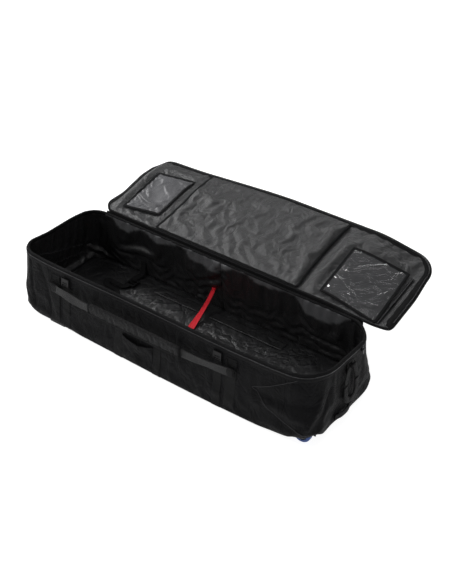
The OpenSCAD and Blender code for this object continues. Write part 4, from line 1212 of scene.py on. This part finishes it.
gx = np.linspace(-0.306, 0.166, 96)[:, None]
ends = np.minimum(smooth(-0.3085, -0.285, gx), smooth(0.1685, 0.145, gx))
ry, rz = rounded(np.linspace(0, 2 * math.pi, 33)[None])
tube = np.stack(np.broadcast_arrays(gx, GRIP_Y + (0.0062 + 0.0026 * ends) * ry,
                                    GRIP_Z - 0.0012 * np.sin(gx * 9) + (0.0215 + 0.003 * ends) * rz), -1)
out = normals(tube)
out = out * np.sign((out * (tube - tube.mean(1, keepdims=True))).sum(-1).mean())
GRIP = settle(tube, out, (1.018, 1.03), -0.0018, 0.0008, pull=0.0, seed=71, drift=0.006)
GRIP[:, -1] = GRIP[:, 0]
grip = cloth("grip_cloth", GRIP, WRAP, "carry_handle", 0.0012, slot="cloth", replaces=["grip_wrap"])
lip = Pile()
seam = [(x, GRIP_Y - 0.0092, 0.159) for x in gx[:, 0]]
lip.sweep(resample(seam, 0.005), (0, 0, 1), band(0.008, 0.0008))
for x in (gx[1, 0], gx[-2, 0]):
    ring = np.stack([np.full(33, x), GRIP_Y + 0.0088 * ry[0], GRIP_Z + 0.0235 * rz[0]], -1)
    lip.sweep(ring, (1, 0, 0), band(0.006, 0.0014), closed=True)
lip.make("grip_edges", TAPE, "carry_handle", slot="cloth")

# ---- Back handle ----
way = curve([(-0.187, 0.2405), (-0.165, 0.244), (-0.13, 0.2535), (-0.09, 0.259), (-0.07, 0.26),
             (-0.05, 0.259), (-0.015, 0.2535), (0.02, 0.244), (0.042, 0.2405)], 0.005)
z = 0.1855 + 0.0145 * np.linspace(-1, 1, 7)[None]
g = np.stack(np.broadcast_arrays(way[:, :1], way[:, 1:], z), -1)
cloth("back_strap", g, WEB, "back_handle", 0.0026, flip=True, slot="webbing", replaces=["back_handle"])
eyes = Pile()
for x in HANDLE_X:
    eye(eyes, x, 1, BACK_BAR_Z, 0.005, (0.35, 0.5), 0.026, 0.0016)
    sewn = [(x, 0.2412, 0.1985), (x, 0.2416, 0.19), (x, 0.2412, 0.172)]
    eyes.sweep(resample(sewn, 0.003), (1, 0, 0), band(0.026, 0.0016))
eyes.make("back_handle_eyes", WEB, "back_handle", slot="webbing")

# ---- Wheel end: haul loop, its anchor and the low grab handle ----
HAUL_FACE = 0.753
pts = [(0.0075, 0.229), (-0.006, 0.2), (-0.0165, 0.16), (-0.0175, 0.115), (-0.008, 0.083), (0.0125, 0.0705),
       (0.0325, 0.0715), (0.0495, 0.085), (0.0575, 0.115), (0.0565, 0.16), (0.046, 0.2), (0.0325, 0.229)]
line = curve([(HAUL_FACE + 0.0035 * math.sin(math.pi * k / 11), y, z) for k, (y, z) in enumerate(pts)], 0.004)
haul = Pile()
haul.sweep(line, np.cross(frames(line, (1, 0, 0))[0], (1, 0, 0)), band(0.024, 0.0028, 0.2))
ring = [(HAUL_FACE + 0.005 * math.cos(t), HAUL_Y, 0.2262 + 0.005 * math.sin(t))
        for t in np.linspace(0.2, 2 * math.pi - 0.2, 20)]
haul.sweep(ring, (0, 1, 0), band(0.026, 0.0018))
haul.make("haul_loop", WEB, "end_handle", slot="webbing", replaces=["end_handle"])
line = curve([(HAUL_FACE + dx, y, z) for dx, y, z in (
    (0.004, -0.0178, 0.15), (0.004, -0.016, 0.11), (0.0045, -0.006, 0.084), (0.005, 0.0125, 0.0712),
    (0.005, 0.0325, 0.0722), (0.0045, 0.0485, 0.086), (0.004, 0.056, 0.11), (0.004, 0.056, 0.15))], 0.003)
oval = [(0.0125 * x, 0.003 * y) for x, y in rod(1, 14)]
haul_grip = Pile()
haul_grip.sweep(line, np.cross(np.gradient(line, axis=0), (1, 0, 0)), oval)
haul_grip.make("haul_loop_grip", BLACK, "end_handle", slot="webbing")


def end_wall(y, z):
    """x of the settled wheel-end wall at (y, z)."""
    grid = WALL[PANEL_OF == "wheel"]
    grid = grid[grid[:, 30, 0] > 0.735]
    i = int(np.clip(np.searchsorted(grid[:, 30, 1], y), 1, len(grid) - 1))
    return max(float(np.interp(z, col[:, 2], col[:, 0])) for col in grid[i - 1 : i + 1])


g = np.array([[(end_wall(y, z) + 0.0014, y, z) for z in np.linspace(0.19, 0.2445, 24)]
              for y in np.linspace(-0.002, 0.042, 7)])
g[..., 0] = np.maximum(g[..., 0], g[..., 0].mean(0, keepdims=True))
cloth("haul_anchor_web", g, WEB, "tub", 0.0014, slot="webbing", replaces=["end_handle_anchor"])
anchor = Pile()
anchor.sweep([(HAUL_X, y, HAUL_Z) for y in (-0.0035, HAUL_Y, 0.0435)], (0, 0, 1), rod(BAR_R, 12))
for y in (-0.0005, 0.0405):
    pts = [(end_wall(y, 0.206) + 0.001, 0.206), (HAUL_X - 0.001, HAUL_Z - 0.0065), (HAUL_X + 0.0042, HAUL_Z),
           (HAUL_X - 0.001, HAUL_Z + 0.0065), (end_wall(y, 0.243) + 0.001, 0.243)]
    anchor.sweep(curve([(x, y, z) for x, z in pts], 0.002), (0, 1, 0), band(0.005, 0.0014))
anchor.make("haul_anchor_bar", PLASTIC, "tub", slot="webbing")

line = curve([(x, y, 0.031) for x, y in ((0.7512, 0.042), (0.7525, 0.028), (0.758, 0.008), (0.7595, -0.015),
                                         (0.758, -0.038), (0.7525, -0.058), (0.7512, -0.072))], 0.004)
grab = Pile()
grab.sweep(line, (0, 0, 1), band(0.025, 0.003, 0.2))
grab.make("low_grab_strap", WEB, "tub", slot="webbing", replaces=["lower_grab_handle"])

# ---- Side pocket: a patch whose mouth gapes ----
POCKET_X, POCKET_HALF = -0.0725, 0.079
px = np.linspace(-0.1515, 0.0065, 34)[:, None]
pv = np.linspace(0, 1, 24)[None]
off_middle = (px - POCKET_X) / POCKET_HALF
pz = mix(0.005, 0.1075 - 0.013 * (1 - off_middle**2), pv)
columns_at = [wall_column("front", x) for x in px[:, 0]]
wall_y = np.array([np.interp(z, col[:, 2], col[:, 1]) for z, col in zip(pz, columns_at)])
ripple = 0.0012 * flat_noise(px, pz, (0.05, 0.04), 33.0)
gape = 0.0018 + 0.0125 * (1 - off_middle**2) * smooth(0.25, 1.0, pv) ** 1.3
gape = gape + ripple * smooth(0, 0.15, pv) * smooth(1, 0.8, np.abs(off_middle))
g = np.stack(np.broadcast_arrays(px, wall_y - gape, pz), -1)
pocket = cloth("front_pocket", g, BLACK, "tub", 0.0014, slot="cloth", replaces=["side_pocket"])
hem = Pile()
hem.sweep(resample(g[:, -1], 0.004), (0, 0, 1), band(0.01, 0.0022))
hem.make("front_pocket_hem", TAPE, "tub", slot="cloth")


# ---- Piped seams that meet in a point on the front ----
def wall_line(points):
    """Points given as (distance round from the nose seam, height), put just off the settled wall."""
    u_col = girth(COLS)
    ok = np.flatnonzero((PANEL_OF == "front") | (PANEL_OF == "wheel"))
    out = []
    for u, z in points:
        i = int(ok[np.clip(np.searchsorted(u_col[ok], u), 1, len(ok) - 1)])
        before, after = (rows_at(z, WALL[q][:, 2], WALL[q]) for q in (i - 1, i))
        share = (u - u_col[i - 1]) / (u_col[i] - u_col[i - 1])
        out.append(mix(before, after, share) + 0.0008 * OUTWARD[i, 20])
    return np.array(out)


piping = Pile()
for pts in ([(0.482, 0.151), (0.558, 0.188), (0.64, 0.236), (0.69, 0.256)],
            [(0.482, 0.151), (0.569, 0.091), (0.626, 0.068), (0.69, 0.053), (0.73, 0.04)]):
    line = resample([(F0 + u, z) for u, z in pts], 0.005)
    piping.sweep(wall_line(line), (0, 0, 1), rod(0.0011, 8))
piping.make("corner_seams", PALE, "tub", slot="webbing", replaces=["corner_piping"])

# ---- The red strap: x, y, z and its share of the full width, from the back wall to the front ----
route = np.array([(-0.048, 0.2215, 0.113, 0.55), (-0.0475, 0.205, 0.094, 0.55), (-0.0465, 0.17, 0.066, 0.62),
                  (-0.043, 0.12, 0.0405, 0.78), (-0.036, 0.07, 0.0262, 0.92), (-0.029, 0.03, 0.0262, 0.98),
                  (-0.027, -0.05, 0.0262, 1.0), (-0.03, -0.14, 0.0262, 1.0), (-0.033, -0.205, 0.0262, 1.0),
                  (-0.035, -0.226, 0.033, 1.0), (-0.036, -0.2255, 0.06, 1.0)])
line = curve(route[:, :3], 0.005)
share = np.interp(np.linspace(0, 1, len(line)), np.linspace(0, 1, len(route)), route[:, 3])[:, None]
on_floor = (line[:, 1] < 0.06) & (line[:, 1] > -0.215)
line[:, 2] = np.where(on_floor, [floor_height(x, y) + 0.0022 for x, y, _ in line], line[:, 2])
line[:, 2] = np.convolve(np.pad(line[:, 2], 4, mode="edge"), np.ones(9) / 9, "valid")
_, sideways, up = frames(line, (1, 0, 0))
k = np.linspace(-1, 1, 9)[None]
half_red = RED_W / 2 * share
curl = (1 - share) * 0.9
across = half_red * np.sin(k * (1 + curl)) / np.sin(1 + curl * 0.4)
high = half_red * curl * (1 - k**2) * 0.8
g = line[:, None] + sideways[:, None] * across[..., None] + up[:, None] * high[..., None]
cloth("red_strap_web", g, RED, "tub", 0.0022, flip=True, slot="red_webbing", replaces=["red_strap"])
end = Pile()
end.block((-0.048, 0.224, 0.115), np.eye(3), (0.0085, 0.004, 0.0055))
end.make("red_strap_end", RED, "tub", slot="red_webbing")

# ---- The black tie-down strap, either side of its buckle ----
short_end = curve([(-0.437, 0.229, 0.088), (-0.44, 0.2265, 0.05), (-0.44, 0.218, 0.029),
                   (-0.438, 0.195, 0.03), (-0.444, 0.172, 0.0262), (-0.432, 0.15, 0.03)], 0.005)
long_end = curve([(-0.43, 0.122, 0.03), (-0.446, 0.1, 0.0262), (-0.478, 0.092, 0.032),
                  (-0.512, 0.099, 0.0275), (-0.53, 0.088, 0.033), (-0.505, 0.066, 0.029),
                  (-0.455, 0.06, 0.0262), (-0.428, 0.03, 0.0262), (-0.426, -0.06, 0.0262),
                  (-0.43, -0.15, 0.0262), (-0.43, -0.212, 0.027), (-0.43, -0.2275, 0.04),
                  (-0.43, -0.225, 0.08)], 0.005)
straps = Pile()
straps.sweep(short_end, (1, 0, 0), band(TIE_W, 0.0018))
straps.sweep(long_end, np.cross(frames(long_end, (0, 0, 1))[0], (0, 0, 1.0)), band(TIE_W * 0.9, 0.0018))
straps.make("tie_down_web", WEB, "tub", slot="webbing", replaces=["tie_down_strap"])

# ---- The long strips on the floor ----
for name, x0, x1, node in (("floor_strip_left", -0.318, -0.062, ["floor_strip"]),
                           ("floor_strip_right", -0.018, 0.346, [])):
    x = np.linspace(x0, x1, int((x1 - x0) / 0.006))[None]
    y = np.linspace(0.153, 0.199, 8)[:, None]
    z = np.array([[floor_height(a, b) for a in x[0]] for b in y[:, 0]])
    z = z + 0.003 + 0.0028 * np.abs(flat_noise(x, y, (0.035, 0.03), 45.0))
    y = y + 0.004 * flat_noise(x, 0.0, (0.08, 1), 44.0)
    g = np.stack(np.broadcast_arrays(x, y, z), -1)
    cloth(name, g, LINING, "tub", 0.002, flip=True, slot="webbing", replaces=node)

# ---- CAD pieces that stay: their material and how far their edges are rounded ----
KEPT = {"nose_feet": (PLASTIC, 0.0015), "housing_rivets": (STEEL, 0), "left_pocket_slider": (SLIDER, 0.0003)}
for name in ("tie_down_buckle", "nose_buckle", "wheel_buckle"):
    KEPT[name] = (PLASTIC, 0.0006)
for side in ("front", "back"):
    KEPT |= {"wheel_housing_" + side: (PLASTIC, 0.0008), "axle_" + side: (STEEL, 0),
             "tyre_" + side: (TYRE, 0.0008), "hub_" + side: (PLASTIC, 0.0005), "bearings_" + side: (STEEL, 0)}
for end in ("nose", "wheel_end"):
    KEPT |= {end + "_slider": (SLIDER, 0.0004), end + "_pull": (SLIDER, 0.0003)}
for name, (finish, bevel) in KEPT.items():
    o = NODES[name]
    o.data.materials.clear()
    o.data.materials.append(finish)
    if bevel:
        mod = o.modifiers.new("soft edges", "BEVEL")
        mod.width, mod.segments, mod.limit_method, mod.angle_limit = bevel, 2, "ANGLE", math.radians(35)
        mod.harden_normals = False


# ---- Camera, floor and light ----
def look_from(az, el, roll, dist, target, lens):
    """Puts the camera dist from its target, at an azimuth from -Y and an elevation."""
    a, e, r = (math.radians(v) for v in (az, el, roll))
    back = Vector((math.sin(a) * math.cos(e), -math.cos(a) * math.cos(e), math.sin(e)))
    right = Vector((math.cos(a), math.sin(a), 0))
    up = back.cross(right)
    right, up = right * math.cos(r) + up * math.sin(r), up * math.cos(r) - right * math.sin(r)
    camera = bpy.data.objects.new("camera", bpy.data.cameras.new("camera"))
    bpy.context.scene.collection.objects.link(camera)
    camera.data.lens, camera.data.sensor_width, camera.data.clip_end = lens, 36, 60
    place = Matrix((right, up, back)).transposed().to_4x4()
    place.translation = Vector(target) + back * dist
    camera.matrix_world = place
    bpy.context.scene.camera = camera


# fitted to the photo: degrees, metres, and the lens in millimetres
look_from(az=37.169, el=35.197, roll=0.278, dist=4.871, target=(0.0511, 0.1772, 0.1664), lens=73.56)

FLOOR_HALF = 14
paper = bpy.data.materials.new("paper")
paper.use_nodes = True
for key, value in {"Base Color": (0.4, 0.4, 0.4, 1), "Roughness": 0.9, "Specular IOR Level": 0.1,
                   "Emission Color": (1, 1, 1, 1), "Emission Strength": 0.92}.items():
    paper.node_tree.nodes["Principled BSDF"].inputs[key].default_value = value
corners = [(FLOOR_HALF * x, FLOOR_HALF * y, GROUND) for x, y in ((-1, -1), (1, -1), (1, 1), (-1, 1))]
make("floor", corners, [(0, 1, 2, 3)], paper, None)

world = bpy.data.worlds.new("studio")
bpy.context.scene.world = world
world.use_nodes = True
world.node_tree.nodes["Background"].inputs["Color"].default_value = (1, 1, 1, 1)
world.node_tree.nodes["Background"].inputs["Strength"].default_value = 0.22


def soft_light(name, place, aim, size, power):
    """A rectangular lamp of a size in metres and a power in watts, turned towards its aim."""
    lamp = bpy.data.objects.new(name, bpy.data.lights.new(name, "AREA"))
    bpy.context.scene.collection.objects.link(lamp)
    lamp.data.shape, lamp.data.size, lamp.data.size_y, lamp.data.energy = "RECTANGLE", *size, power
    facing = (Vector(aim) - Vector(place)).to_track_quat("-Z", "Y")
    lamp.matrix_world = Matrix.Translation(place) @ facing.to_matrix().to_4x4()


soft_light("key", (-3.5, 1.0, 2.7), (0, 0.2, 0.15), (0.9, 0.9), 95)
soft_light("front", (-2.4, -2.4, 3.3), (0, 0.1, 0.1), (1.2, 1.0), 60)
soft_light("far edge", (-0.8, 3.4, 2.2), (0, 0.1, 0.1), (2.2, 0.6), 30)
soft_light("overhead", (0.6, 0.2, 3.8), (0, 0.2, 0.1), (2.6, 1.6), 26)
soft_light("side", (3.4, -2.0, 2.0), (0.1, 0, 0.1), (1.4, 1.4), 10)
view = bpy.context.scene.view_settings
view.view_transform, view.look, view.exposure, view.gamma = "Standard", "None", 0, 1
